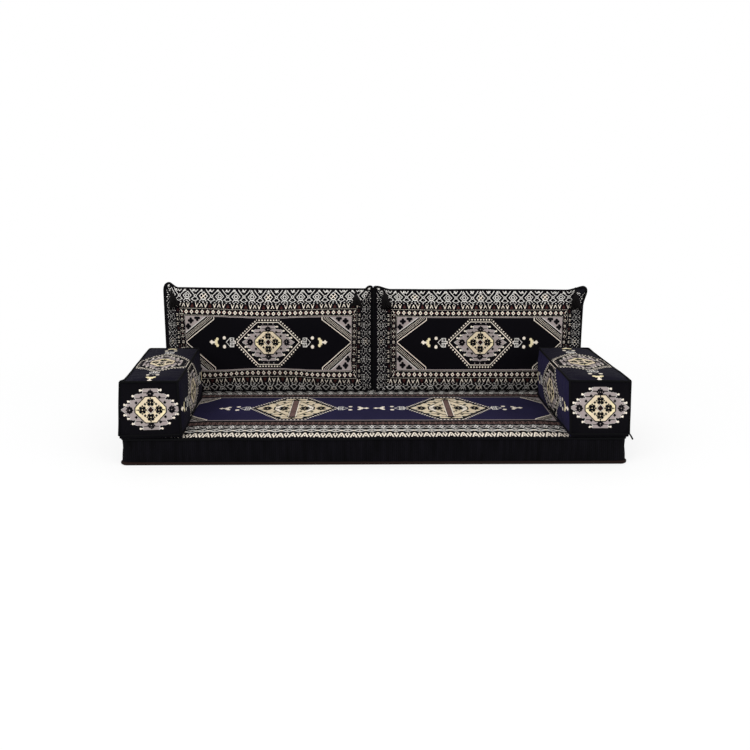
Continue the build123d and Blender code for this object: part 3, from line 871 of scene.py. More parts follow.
@dataclass(frozen=True)
class Tube:
    """A round cord swept along points."""

    radius: float
    sides: int = 10

    def sweep(
        self, shape: Shape, points: Sequence[Vector], normal: Vector, closed: bool,
        swell: Sequence[float] = (),
    ) -> None:
        """Wrap a grid round a line of points, with the cord's own flat coordinates on it.

        Args:
            shape: The bmesh to add to; close_tubes sews it up afterwards.
            points: The middle line.
            normal: A direction that is never along the line, which keeps the rings in step.
            closed: Join the last ring to the first.
            swell: How much thicker the cord is at each point, where it isn't 1.
        """
        cloth = shape.loops.layers.uv.verify()
        count = len(points)
        steps = count if closed else count - 1
        runs = [0.0]
        for step in range(steps):
            runs.append(runs[-1] + (points[(step + 1) % count] - points[step]).length)
        made = bmesh.ops.create_grid(shape, x_segments=self.sides, y_segments=steps, size=0.5)["verts"]
        flat: dict[bmesh.types.BMVert, tuple[float, float]] = {}
        for vert in made:
            step = round((vert.co.y + 0.5) * steps)
            angle = (vert.co.x + 0.5) * math.tau
            if closed:
                ahead, behind = points[(step + 1) % count], points[(step - 1) % count]
            else:
                ahead, behind = points[min(step + 1, count - 1)], points[max(step - 1, 0)]
            along = (ahead - behind).normalized()
            side = along.cross(normal).normalized()
            up = side.cross(along)
            flat[vert] = (runs[step], angle * self.radius)
            radius = self.radius * (swell[step % count] if swell else 1.0)
            vert.co = points[step % count] + (side * math.cos(angle) + up * math.sin(angle)) * radius
        for face in {face for vert in made for face in vert.link_faces}:
            for loop in face.loops:
                loop[cloth].uv = flat[loop.vert]


def close_tubes(shape: Shape) -> None:
    """Sew up every swept tube, close its open ends and turn its faces outwards."""
    bmesh.ops.remove_doubles(shape, verts=shape.verts[:], dist=2e-6)
    open_edges = [edge for edge in shape.edges if edge.is_boundary]
    if open_edges:
        bmesh.ops.holes_fill(shape, edges=open_edges, sides=0)
    bmesh.ops.recalc_face_normals(shape, faces=shape.faces[:])


def rounded_loop(corners: Sequence[tuple[float, float]], radius: float, step: float) -> list[tuple[float, float]]:
    """Points round a closed outline with rounded corners.

    Args:
        corners: The outline's corners.
        radius: The radius at every corner.
        step: Greatest distance between points.

    Returns:
        The points, in order.
    """
    line: list[tuple[float, float]] = []
    count = len(corners)
    for number, corner in enumerate(corners):
        here = Vector((corner[0], corner[1], 0))
        back = (Vector((*corners[number - 1], 0)) - here).normalized()
        ahead = (Vector((*corners[(number + 1) % count], 0)) - here).normalized()
        angle = back.angle(ahead)
        reach = radius / math.tan(angle / 2)
        middle = here + (back + ahead).normalized() * (radius / math.sin(angle / 2))
        first, last = here + back * reach, here + ahead * reach
        turns = max(3, int((math.pi - angle) / math.radians(15)))
        for turn in range(turns + 1):
            spoke = (first - middle).lerp(last - middle, turn / turns)
            point = middle + spoke.normalized() * radius
            line.append((point.x, point.y))
    dense: list[tuple[float, float]] = []
    for number, point in enumerate(line):
        following = line[(number + 1) % len(line)]
        gap = math.dist(point, following)
        parts = max(1, math.ceil(gap / step))
        for part in range(parts):
            share = part / parts
            dense.append((point[0] + (following[0] - point[0]) * share, point[1] + (following[1] - point[1]) * share))
    return dense


class Panel(Enum):
    """The six panels of a box cushion: outward direction, direction across and direction up."""

    TOP = (Vector((0, 0, 1)), Vector((1, 0, 0)), Vector((0, 1, 0)))
    BASE = (Vector((0, 0, -1)), Vector((1, 0, 0)), Vector((0, -1, 0)))
    FRONT = (Vector((0, -1, 0)), Vector((1, 0, 0)), Vector((0, 0, 1)))
    REAR = (Vector((0, 1, 0)), Vector((-1, 0, 0)), Vector((0, 0, 1)))
    LEFT = (Vector((-1, 0, 0)), Vector((0, -1, 0)), Vector((0, 0, 1)))
    RIGHT = (Vector((1, 0, 0)), Vector((0, 1, 0)), Vector((0, 0, 1)))


@dataclass
class BoxShell:
    """The sewn cover of a box cushion before it is filled."""

    size: Vector
    middle: Vector
    cell: float
    finishes: dict[Panel, int]

    def build(self) -> Shape:
        """Sew six gridded panels into a closed box with the cloth's flat coordinates on it."""
        shape = bmesh.new()
        cloth = shape.loops.layers.uv.new("cloth")
        for panel in Panel:
            outward, across, up = panel.value
            long = abs(self.size.dot(Vector(map(abs, across))))
            tall = abs(self.size.dot(Vector(map(abs, up))))
            reach = abs(self.size.dot(Vector(map(abs, outward)))) / 2
            made = bmesh.ops.create_grid(
                shape,
                x_segments=max(2, round(long / self.cell)),
                y_segments=max(2, round(tall / self.cell)),
                size=0.5,
            )["verts"]
            new_faces = {face for vert in made for face in vert.link_faces}
            for face in new_faces:
                face.material_index = self.finishes[panel]
                for loop in face.loops:
                    loop[cloth].uv = (loop.vert.co.x * long, loop.vert.co.y * tall)
            for vert in made:
                x, y = vert.co.x * long, vert.co.y * tall
                vert.co = self.middle + outward * reach + across * x + up * y
        bmesh.ops.remove_doubles(shape, verts=shape.verts[:], dist=self.cell * 0.05)
        bmesh.ops.recalc_face_normals(shape, faces=shape.faces[:])
        return shape


def seam_share(vert: bmesh.types.BMVert) -> float:
    """1 on a seam, where panels of different directions meet, otherwise 0."""
    normals = [face.normal for face in vert.link_faces]
    return 1.0 if any(normals[0].dot(other) < 0.9 for other in normals) else 0.0


class Filler:
    """Fills sewn covers with pressure, all in one short cloth simulation."""

    cloth_settings = {
        "quality": 5, "mass": 0.3, "tension_stiffness": 15, "compression_stiffness": 15, "shear_stiffness": 8,
        "bending_stiffness": 0.6, "tension_damping": 15, "compression_damping": 15, "use_pressure": True,
        "vertex_group_mass": "seams",
    }

    def __init__(self, frames: int = 18) -> None:
        """Start with no covers."""
        self.frames = frames
        self.covers: list[tuple[bpy.types.Object, float, Callable[[Vector, Vector], Vector], Matrix]] = []

    def add(
        self, cover: bpy.types.Object, held: Sequence[float], pressure: float, slack: float, cap: float,
        settle: Callable[[Vector, Vector], Vector], place: Matrix,
    ) -> None:
        """Add a cover.

        Args:
            cover: The cover's object.
            held: For each vertex, 1 where it is held fast and 0 where it is free.
            pressure: The filling's pressure.
            slack: How much larger the cloth is cut than its place, as a share.
            cap: How far a point may move, in metres.
            settle: Moves a filled point to where its neighbours let it be.
            place: Where the filled cover goes in the set.
        """
        group = cover.vertex_groups.new(name="seams")
        for number, weight in enumerate(held):
            if weight > 0:
                group.add([number], weight, "REPLACE")
        cloth = cover.modifiers.new("filling", "CLOTH")
        for setting, value in self.cloth_settings.items():
            setattr(cloth.settings, setting, value)
        cloth.settings.uniform_pressure_force = pressure
        cloth.settings.shrink_min = -slack
        cloth.settings.effector_weights.gravity = 0
        cloth.collision_settings.use_collision = False
        cloth.point_cache.frame_start = 1
        cloth.point_cache.frame_end = self.frames
        self.covers.append((cover, cap, settle, place))

    def run(self) -> None:
        """Run the simulation and keep each cover's filled shape."""
        scene = bpy.context.scene
        for number in range(1, self.frames + 1):
            scene.frame_set(number)
        graph = bpy.context.evaluated_depsgraph_get()
        for cover, cap, settle, place in self.covers:
            filled = [vert.co.copy() for vert in cover.evaluated_get(graph).data.vertices]
            for modifier in list(cover.modifiers):
                cover.modifiers.remove(modifier)
            for vert, goal in zip(cover.data.vertices, filled):
                move = goal - vert.co
                if move.length > cap:
                    move *= cap / move.length
                vert.co = settle(vert.co.copy(), vert.co + move)
            cover.data.transform(place)
            cover.data.update()
            subdivision = cover.modifiers.new("smooth_cloth", "SUBSURF")
            subdivision.levels = subdivision.render_levels = 1
        scene.frame_set(1)


# Sub-assemblies


@dataclass
class SeatMattress:
    """The seat: a box of foam with a rug cloth on top, ribbed bands, piping above and a thick welt below."""

    length: float = 2000 * MM
    depth: float = 770 * MM
    height: float = 110 * MM
    piping_radius: float = 4.5 * MM
    welt_radius: float = 7 * MM
    foot_spread: float = 7 * MM
    side_swell: float = 9 * MM
    under_arm_x: float = 0.7
    under_back_y: float = 0.2
    corner: float = 22 * MM
    base_gap: float = 1 * MM
    cell: float = 14 * MM

    def build(self, finishes: Finishes, filler: Filler) -> list[bpy.types.Object]:
        """Build the cover and its cords.

        Args:
            finishes: The sofa's materials.
            filler: Fills the cover.

        Returns:
            The seat's pieces.
        """
        low = self.base_gap
        high = self.height - self.piping_radius
        size = Vector((
            self.length + 2 * self.side_swell - 2 * self.piping_radius,
            self.depth - 2 * self.piping_radius,
            high - low,
        ))
        shell = BoxShell(
            size, Vector((0, 0, (low + high) / 2)), self.cell,
            {Panel.TOP: 0, Panel.BASE: 2, Panel.FRONT: 1, Panel.REAR: 1, Panel.LEFT: 1, Panel.RIGHT: 1},
        )
        shape = shell.build()
        shape.verts.index_update()
        held = [seam_share(vert) for vert in shape.verts]
        half_x, half_y = size.x / 2, size.y / 2
        for vert in shape.verts:
            self.round_corner(vert.co, half_x, half_y)
            taper = 1 - smoothstep(vert.co.z / high)
            spread = self.foot_spread * taper - 1 * MM
            vert.co.x += math.copysign(min(abs(vert.co.x) / half_x, 1) ** 8 * spread, vert.co.x)
            if vert.co.y < 0:
                vert.co.y -= min(abs(vert.co.y) / half_y, 1) ** 8 * abs(spread)
            if vert.co.z < low + 1e-5 or vert.co.y > half_y - 8 * MM:
                held[vert.index] = 1.0
        cover = finish_mesh("seat_cover", shape, [finishes.seat_cloth, finishes.chenille, finishes.lining])
        filler.add(cover, held, 2.0, 0.006, 9 * MM, self.settle, Matrix.Identity(4))
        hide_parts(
            "seat_foam_core", "seat_top_panel", "seat_front_band", "seat_left_band", "seat_right_band",
            "seat_rear_band", "seat_base_panel",
        )

        piping = self.loop("seat_top_cord", high, self.piping_radius, self.piping_radius, finishes.piping)
        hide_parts("seat_top_piping")
        reach = self.welt_radius - self.foot_spread
        welt = self.loop("seat_base_welt", self.welt_radius + 0.3 * MM, self.welt_radius, reach, finishes.welt)
        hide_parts("seat_base_piping")
        pieces = [cover, piping, welt]
        for piece in pieces:
            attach(piece, "seat")
        return pieces

    def round_corner(self, place: Vector, half_x: float, half_y: float) -> None:
        """Round the four upright corners of the cover."""
        over_x = abs(place.x) - (half_x - self.corner)
        over_y = abs(place.y) - (half_y - self.corner)
        if over_x > 0 and over_y > 0:
            flat = math.hypot(over_x, over_y)
            scale = max(over_x, over_y) / flat
            place.x = math.copysign(half_x - self.corner + over_x * scale, place.x)
            place.y = math.copysign(half_y - self.corner + over_y * scale, place.y)

    def settle(self, start: Vector, goal: Vector) -> Vector:
        """Keep the filled cover clear of the floor and of what lies on the seat."""
        top = self.height - self.piping_radius
        if start.z > top - 1e-4:
            under_arm = smoothstep((abs(start.x) - self.under_arm_x) / 0.07)
            under_back = smoothstep((start.y - self.under_back_y) / 0.06)
            ceiling = top + (8 - max(4.4 * under_arm, 5.6 * under_back)) * MM
            goal.z = min(goal.z, ceiling) + self.wave(start.x, start.y)
        goal.z = max(goal.z, 0.6 * MM)
        return goal

    def wave(self, x: float, y: float) -> float:
        """The unevenness of the top and its front edge, level where an arm or a cushion lies on it."""
        open_part = (1 - smoothstep((abs(x) - 0.66) / 0.07)) * (1 - smoothstep((y - self.under_back_y) / 0.06))
        at_front = smoothstep((-0.25 - y) / 0.12)
        return (0.6 * ripple(x * 21, y * 33) + 2.4 * at_front * ripple(x * 7.0, x * 16.0)) * open_part * MM

    def loop(
        self, name: str, level: float, radius: float, inset: float, finish: bpy.types.Material
    ) -> bpy.types.Object:
        """Sweep a cord round the seat at a level."""
        half_x, front = self.length / 2 + self.side_swell - inset, self.depth / 2 - inset
        rear = self.depth / 2 - radius
        outline = rounded_loop(
            ((half_x, -front), (half_x, rear), (-half_x, rear), (-half_x, -front)), self.corner, 12 * MM
        )
        wavy = level > self.height / 2
        points = [Vector((x, y, level + (self.wave(x, y) if wavy else 0.0))) for x, y in outline]
        shape = bmesh.new()
        Tube(radius).sweep(shape, points, Vector((0, 0, 1)), closed=True)
        close_tubes(shape)
        return finish_mesh(name, shape, [finish])


@dataclass(frozen=True)
class Slump:
    """How a soft arm has settled: shifts and widening at its top and foot, in metres, strongest at the front.

    The tuck is how far the outer side lies in behind the front panel's edge.
    """

    top_shift: float
    foot_shift: float
    top_spread: float
    foot_spread: float
    tuck: float
    loose_tail: bool


@dataclass
class ArmBolster:
    """An arm bolster: a foam box in figured panels with piping along every edge."""

    name: str
    side: int
    turn: float
    slump: Slump
    width: float = 230 * MM
    length: float = 575 * MM
    height: float = 233 * MM
    spacing: float = 1755 * MM
    seat_front: float = -385 * MM
    base_level: float = 110.3 * MM
    piping_radius: float = 4.5 * MM
    low_seam: float = 15 * MM
    edge_radius: float = 9 * MM
    upright_radius: float = 4.2 * MM
    tail_radius: float = 3.2 * MM
    base_gap: float = 0.6 * MM
    cell: float = 9.5 * MM

    @property
    def place(self) -> Matrix:
        """Where the middle of the underside lies; the arm turns about the middle of its front edge."""
        front = Matrix.Translation((self.side * self.spacing / 2, self.seat_front, self.base_level))
        return front @ Matrix.Rotation(math.radians(self.turn), 4, "Z") @ Matrix.Translation((0, self.length / 2, 0))

    def slumped(self, point: Vector) -> Vector:
        """Bring a point of the plain box to where the soft arm has settled."""
        up = min(max(point.z / self.height, 0.0), 1.0)
        front = 1 - 0.55 * smoothstep(0.5 + point.y / self.length)
        across = point.x / (self.width / 2)
        shift = self.slump.foot_shift + (self.slump.top_shift - self.slump.foot_shift) * up
        spread = self.slump.foot_spread + (self.slump.top_spread - self.slump.foot_spread) * up
        seed = self.side * 3.0
        behind = (point.y + self.length / 2) / self.length
        tucked = self.slump.tuck * smoothstep(behind / 0.07) * (1 - behind) * max(self.side * across, 0.0)
        x = point.x + (self.side * shift + across * spread) * front - self.side * tucked
        x += 1.6 * MM * ripple(point.y * 11 + seed, point.z * 17 + across) * abs(across)
        lift = 3.5 * MM + 2.2 * MM * ripple(point.x * 19 + seed, point.y * 9 - seed) + 4 * MM * behind
        z = point.z + lift * up**3
        y = point.y + 1.8 * MM * ripple(point.z * 21 + seed, point.x * 15) * (0.5 - point.y / self.length) * up
        return Vector((x, y, z))

    def build(self, finishes: Finishes, filler: Filler) -> list[bpy.types.Object]:
        """Build the cover and its piping.

        Args:
            finishes: The sofa's materials.
            filler: Fills the cover.

        Returns:
            The arm's pieces.
        """
        inset = self.piping_radius
        size = Vector((self.width - 2 * inset, self.length - 2 * inset, self.height - inset - self.base_gap))
        shell = BoxShell(
            size, Vector((0, 0, (self.height - inset + self.base_gap) / 2)), self.cell,
            {Panel.TOP: 0, Panel.LEFT: 1, Panel.RIGHT: 1, Panel.FRONT: 2, Panel.REAR: 3, Panel.BASE: 3},
        )
        shape = shell.build()
        shape.verts.index_update()
        held = [seam_share(vert) for vert in shape.verts]
        for vert in shape.verts:
            seam = smoothstep(1 - abs(vert.co.z - self.low_seam) / (9 * MM))
            if vert.co.z < self.low_seam + 1 * MM or vert.co.y > size.y / 2 - 1e-5:
                held[vert.index] = 1.0
            inwards = 1.5 * MM * seam
            vert.co.x -= math.copysign(inwards, vert.co.x) * min(abs(vert.co.x) / (size.x / 2), 1) ** 8
            vert.co.y += inwards * min(max(-vert.co.y, 0) / (size.y / 2), 1) ** 8
            vert.co = self.slumped(vert.co)
        cover = finish_mesh(f"{self.name}_cover", shape, [*finishes.arm_cloths[self.side], finishes.lining])
        filler.add(cover, held, 3.0, 0.012, 10 * MM, self.settle, self.place)
        pipes = self.piping(finishes)
        pipes.data.transform(self.place)
        for piece in (cover, pipes):
            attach(piece, self.name)
        panels = ("foam_core", "top_panel", "inner_panel", "outer_panel", "front_panel", "rear_panel", "base_panel")
        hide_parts(*[f"{self.name}_{panel}" for panel in panels])
        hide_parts(f"{self.name}_piping")
        return [cover, pipes]

    def settle(self, start: Vector, goal: Vector) -> Vector:
        """Keep the filled cover off the seat below it."""
        goal.z = max(goal.z, min(start.z, self.low_seam))
        return goal

    def piping(self, finishes: Finishes) -> bpy.types.Object:
        """Sweep the two loops and the four upright cords."""
        inset = self.piping_radius
        half_x, half_y = self.width / 2 - inset, self.length / 2 - inset
        outline = rounded_loop(
            ((half_x, -half_y), (half_x, half_y), (-half_x, half_y), (-half_x, -half_y)), self.edge_radius, 10 * MM
        )
        shape = bmesh.new()
        tube = Tube(self.piping_radius)
        for level in (self.low_seam, self.height - inset):
            points = [self.slumped(Vector((x, y, level + 0.7 * MM * ripple(x * 40, y * 31)))) for x, y in outline]
            tube.sweep(shape, points, Vector((0, 0, 1)), closed=True)
        corner_inset = self.edge_radius * (1 - 1 / math.sqrt(2)) * 0.35
        for x in (-half_x + corner_inset, half_x - corner_inset):
            for y in (-half_y + corner_inset, half_y - corner_inset):
                steps = 24
                points = [
                    self.slumped(Vector((x, y, self.low_seam + (self.height - inset - self.low_seam) * step / steps)))
                    for step in range(steps + 1)
                ]
                Tube(self.upright_radius).sweep(shape, points, Vector((0, 1, 0)), closed=False)
        if self.slump.loose_tail:
            self.tail(shape, Vector((self.side * half_x, -half_y, self.low_seam)))
        close_tubes(shape)
        return finish_mesh(f"{self.name}_cord", shape, [finishes.piping])

    def tail(self, shape: Shape, corner: Vector) -> None:
        """Add the loose end of the piping that hangs from the outer front foot."""
        way = [(0.0, 0.0, 0.0), (3.0, -2.0, -4.0), (6.0, -3.0, -10.0), (9.5, -3.5, -17.0), (12.0, -3.5, -22.0)]
        points = [self.slumped(corner + Vector((self.side * x, y, z)) * MM) for x, y, z in way]
        Tube(self.tail_radius).sweep(shape, points, Vector((0, 1, 0)), closed=False)


@dataclass(frozen=True)
class Corner:
    """A top corner of a back cushion, measured over its piping in metres."""

    half: float
    height: float
    out: float
    rise: float
    run: float
    radius: float
    back: float = 0.0


@dataclass
class BackCushion:
    """A knife-edged back cushion that leans back on the seat, with lumpy ears at its top corners."""

    name: str
    side: int
    left: Corner
    right: Corner
    spacing: float = 1002 * MM
    height: float = 494 * MM
    half_depth: float = 57 * MM
    lean: float = 4.1
    meeting_x: float = 4 * MM
    foot_y: float = 317 * MM
    foot_z: float = 108 * MM
    ear_drop: float = 75 * MM
    low_corner: float = 14 * MM
    piping_radius: float = 4.5 * MM
    foot_stretch: float = 0.9
    cloth_half: float = 246 * MM
    fullest_share: float = 0.4
    squareness: tuple[float, float] = (4.2, 9.0)
    zip_height: float = 189 * MM
    zip_half: float = 0.335
    rear_limit: float = 58 * MM
    zip_limit: float = 55 * MM
    front_limit: float = 64 * MM
    cell: float = 8.5 * MM

    @property
    def place(self) -> Matrix:
        """The cushion's frame: X across, Y backwards from the seam and Z up the lean."""
        foot = Matrix.Translation((self.meeting_x + self.side * self.spacing / 2, self.foot_y, self.foot_z))
        return foot @ Matrix.Rotation(-math.radians(self.lean), 4, "X")

    @property
    def seam_half(self) -> float:
        """Half the width between the side seams, before the outline is drawn in."""
        return self.spacing / 2 - self.piping_radius

    @property
    def seam_high(self) -> float:
        """The top seam's height, before the outline is drawn in."""
        return self.height - self.piping_radius

    def outline(self, x: float, z: float) -> tuple[float, float]:
        """Bring a point of the plain seam rectangle to the cushion's own uneven outline.

        Args:
            x: Place across.
            z: Place up.

        Returns:
            The place across and up after rounding, stretching and pulling out the ears.
        """
        corner = self.left if x < 0 else self.right
        radius = corner.radius if z > self.height / 2 else self.low_corner
        over_x = abs(x) - (self.seam_half - radius)
        over_z = z - (self.seam_high - radius) if z > self.height / 2 else radius - z
        near_x, near_z = abs(x), z
        if over_x > 0 and over_z > 0:
            scale = max(over_x, over_z) / math.hypot(over_x, over_z)
            near_x = self.seam_half - radius + over_x * scale
            if z > self.height / 2:
                near_z = self.seam_high - radius + over_z * scale
            else:
                near_z = radius - over_z * scale
        across = 0.5 + 0.5 * x / self.seam_half
        top = self.left.height + (self.right.height - self.left.height) * across - self.piping_radius
        share_x = smoothstep((abs(x) - (self.seam_half - corner.run)) / (corner.run - corner.rise))
        share_z = smoothstep((z - (self.seam_high - self.ear_drop)) / self.ear_drop)
        up = min(max(z / self.seam_high, 0.0), 1.0)
        wave = 2.2 * MM * ripple(x * 9 + self.side, 2.0) * (1 - share_x) * up**4
        waist = -2.5 * MM * math.sin(math.pi * up) * (abs(x) / self.seam_half) ** 4 if corner.out > 5 * MM else 0.0
        out = near_x * (corner.half - self.piping_radius) / self.seam_half + corner.out * share_x * share_z + waist
        return math.copysign(out, x), near_z * top / self.seam_high + corner.rise * share_x * share_z + wave

    def drift(self, x: float, z: float) -> float:
        """How far back the seam plane lies at a place: forward at the foot, and past the neighbour's seam."""
        corner = self.left if x < 0 else self.right
        at_side = smoothstep((abs(x) - self.seam_half) / (40 * MM) + 1)
        return corner.back * at_side - 18 * MM * (1 - smoothstep(z / (150 * MM)))

    def fullness(self, share_x: float, share_z: float, squareness: float) -> float:
        """How full the cushion is at a place, from 0 at the seams to 1."""
        across = max(0.0, 1 - abs(share_x) ** squareness) ** 0.6
        full = self.fullest_share
        if share_z < full:
            upward = (1 - (1 - share_z / full) ** 4) ** 0.5
        else:
            upward = max(0.0, 1 - ((share_z - full) / (1 - full)) ** 3.4) ** 0.62
        return across * upward

    def build(self, finishes: Finishes, filler: Filler) -> list[bpy.types.Object]:
        """Build the cover and its piping.

        Args:
            finishes: The sofa's materials.
            filler: Fills the cover.

        Returns:
            The cushion's pieces.
        """
        shape = bmesh.new()
        cloth = shape.loops.layers.uv.new("cloth")
        for facing in (-1, 1):
            self.sheet(shape, cloth, facing)
        bmesh.ops.remove_doubles(shape, verts=shape.verts[:], dist=0.2 * MM)
        bmesh.ops.recalc_face_normals(shape, faces=shape.faces[:])
        crease = shape.edges.layers.float.new("crease_edge")
        for edge in shape.edges:
            edge[crease] = 1.0 if len({face.material_index for face in edge.link_faces}) > 1 else 0.0
        held = []
        for vert in shape.verts:
            materials = {face.material_index for face in vert.link_faces}
            on_rear = materials == {1}
            near_zip = on_rear and abs(vert.co.z - self.zip_height) < 18 * MM and abs(vert.co.x) < self.zip_half
            held.append(1.0 if len(materials) > 1 or near_zip else 0.0)
        cover = finish_mesh(f"{self.name}_cover", shape, [finishes.back_cloth, finishes.lining])
        filler.add(cover, held, 3.0, 0.012, 12 * MM, self.settle, self.place)
        cord = self.cord(finishes)
        cord.data.transform(self.place)
        for piece in (cover, cord):
            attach(piece, self.name)
        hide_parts(f"{self.name}_filling", f"{self.name}_front_panel", f"{self.name}_rear_panel")
        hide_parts(f"{self.name}_piping")
        return [cover, cord]

    def sheet(self, shape: Shape, cloth: bmesh.types.BMLayerItem, facing: int) -> None:
        """Add one face of the cover, from the bottom seam up to the top seam."""
        high = self.seam_high
        low = self.piping_radius + 0.3 * MM
        columns = round(2 * self.seam_half / self.cell)
        rows = round(high / self.cell)
        squareness = self.squareness[0 if facing < 0 else 1]
        made = bmesh.ops.create_grid(shape, x_segments=columns, y_segments=rows, size=0.5)["verts"]
        flat: dict[bmesh.types.BMVert, tuple[float, float]] = {}
        for vert in made:
            share_x, share_z = vert.co.x * 2, vert.co.y + 0.5
            x = share_x * self.seam_half
            z = low + share_z * (high - low)
            up = z - (self.height - self.cloth_half)
            flat[vert] = (x, max(up, up * self.foot_stretch))
            depth = self.half_depth * self.fullness(share_x, share_z, squareness)
            edge = min((1 - abs(share_x)) * self.seam_half, high - z, z - low)
            depth += 1.1 * MM * math.exp(-edge / 0.02) * ripple(x * 120 + z * 95) * smoothstep(edge / (4 * MM))
            out_x, out_z = self.outline(x, z)
            vert.co = Vector((out_x, facing * depth + self.drift(x, z), out_z))
        for face in {face for vert in made for face in vert.link_faces}:
            face.material_index = 0 if facing < 0 else 1
            for loop in face.loops:
                loop[cloth].uv = flat[loop.vert]

    def settle(self, start: Vector, goal: Vector) -> Vector:
        """Keep the underside on the seat and the rear clear of its zip."""
        if start.y > 0:
            at_zip = abs(start.z - self.zip_height) < 20 * MM
            goal.y = min(goal.y, self.zip_limit if at_zip else self.rear_limit)
        goal.y = max(goal.y, -self.front_limit)
        if start.z < 30 * MM:
            goal.z = max(goal.z, start.z)
        return goal

    def cord(self, finishes: Finishes) -> bpy.types.Object:
        """Sweep the piping round the whole seam, thicker where it bunches up at the ears."""
        low = self.piping_radius + 0.3 * MM
        half, high = self.seam_half, self.seam_high
        corners = ((half, low), (half, high), (-half, high), (-half, low))
        points = []
        swell = []
        for number, start in enumerate(corners):
            end = corners[(number + 1) % len(corners)]
            steps = round(math.dist(start, end) / (6 * MM))
            for step in range(steps):
                x = start[0] + (end[0] - start[0]) * step / steps
                z = start[1] + (end[1] - start[1]) * step / steps
                corner = self.left if x < 0 else self.right
                bunch = smoothstep(1 - math.dist((abs(x), z), (half, high)) / (45 * MM))
                swell.append(1 + corner.rise * 30 * bunch * (1 + 0.25 * ripple(x * 160 + z * 130)))
                out_x, out_z = self.outline(x, z)
                out_x -= math.copysign(self.piping_radius * (swell[-1] - 1), out_x)
                points.append(Vector((out_x, 0.2 * MM * ripple(x * 30, z * 37) + self.drift(x, z), out_z)))
        shape = bmesh.new()
        Tube(self.piping_radius).sweep(shape, points, Vector((0, 1, 0)), closed=True, swell=swell)
        close_tubes(shape)
        return finish_mesh(f"{self.name}_cord", shape, [finishes.piping])


@dataclass
class Tassel:
    """A thread tassel: a cord loop, a wound head, a neck binding and a skirt of many strands."""

    name: str
    tilt: float = 22.0
    reach: float = 6.5 * MM
    drop: float = 12 * MM
    head_length: float = 16 * MM
    head_radius: float = 6.5 * MM
    neck_radius: float = 5.2 * MM
    sway: float = 0.0
    skirt_radius: float = 26 * MM
    skirt_length: float = 74 * MM
    cord_radius: float = 2 * MM
    winding_radius: float = 0.9 * MM
    strand_radius: float = 1.35 * MM

    @property
    def pivot(self) -> Vector:
        """Where the tassel's joint is."""
        for joint in frame["joints"]:
            if joint["child"] == self.name:
                return Vector(joint["pos_m"])
        raise KeyError(self.name)

    def build(self, finishes: Finishes) -> list[bpy.types.Object]:
        """Build the tassel as one piece of many threads.

        Args:
            finishes: The sofa's materials.

        Returns:
            The tassel's pieces.
        """
        shape = bmesh.new()
        head = bmesh.ops.create_uvsphere(shape, u_segments=20, v_segments=12, radius=self.head_radius)["verts"]
        for vert in head:
            vert.co.z = vert.co.z / self.head_radius * self.head_length / 2 - self.head_length / 2
        for turn in range(3):
            self.ring(shape, self.neck_radius + 0.4 * MM, -self.head_length + (turn - 0.6) * 1.5 * MM)
        core_length = self.skirt_length * 0.86
        core = bmesh.ops.create_cone(
            shape, cap_ends=True, segments=18, radius1=self.skirt_radius * 0.74, radius2=self.neck_radius * 0.6,
            depth=core_length,
        )["verts"]
        bmesh.ops.translate(shape, verts=core, vec=(0, 0, -self.head_length - core_length / 2))
        for layer, (count, radius_share, lift) in enumerate(((26, 0.78, 1.0), (50, 0.98, 0.0))):
            self.strands(shape, count, radius_share, layer, lift)
        tilt = Matrix.Rotation(-math.radians(self.tilt), 4, "X") @ Matrix.Rotation(-math.radians(self.sway), 4, "Y")
        hang = self.pivot + Vector((0, -self.reach, -self.drop))
        bmesh.ops.transform(shape, matrix=Matrix.Translation(hang) @ tilt, verts=shape.verts[:])
        steps = 6
        points = [self.pivot.lerp(hang, step / steps) for step in range(steps + 1)]
        Tube(self.cord_radius, 8).sweep(shape, points, Vector((1, 0, 0)), closed=False)
        close_tubes(shape)
        tassel = finish_mesh(f"{self.name}_threads", shape, [finishes.thread])
        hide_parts(self.name)
        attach(tassel, self.name)
        return [tassel]

    def ring(self, shape: Shape, radius: float, level: float) -> None:
        """Wind one turn of thread round the neck."""
        points = [
            Vector((radius * math.cos(turn * math.tau / 20), radius * math.sin(turn * math.tau / 20), level))
            for turn in range(20)
        ]
        Tube(self.winding_radius, 6).sweep(shape, points, Vector((0, 0, 1)), closed=True)

    def strands(self, shape: Shape, count: int, radius_share: float, layer: int, lift: float) -> None:
        """Hang one layer of strands round the neck."""
        steps = 7
        for number in range(count):
            angle = math.tau * (number + 0.37 * layer) / count
            spread = 1 + 0.05 * ripple(number * 2.3 + layer)
            length = self.skirt_length * (1 - 0.02 * lift - 0.025 * abs(ripple(number * 1.9 + 3 * layer)))
            points = []
            for step in range(steps + 1):
                share = step / steps
                flare = share ** 0.75
                radius = self.neck_radius * 0.8 * (1 - flare) + self.skirt_radius * radius_share * spread * flare
                swirl = angle + 0.12 * ripple(number * 3.1) * share
                points.append(
                    Vector((radius * math.cos(swirl), radius * math.sin(swirl), -self.head_length - share * length))
                )
            across = Vector((-math.sin(angle), math.cos(angle), 0))
            Tube(self.strand_radius, 5).sweep(shape, points, across, closed=False)


@dataclass
class ZipDressing:
    """The finishes of one zip's own pieces."""

    owner: str

    def build(self, finishes: Finishes) -> None:
        """Dress the zip's CAD pieces."""
        for ending, finish in (
            ("zip_tapes", finishes.tape), ("zip_coils", finishes.coil),
            ("zip_slider", finishes.metal), ("zip_pull", finishes.metal),
        ):
            node = frame["nodes"][f"{self.owner}_{ending}"]
            node.data.materials.clear()
            node.data.materials.append(finish)


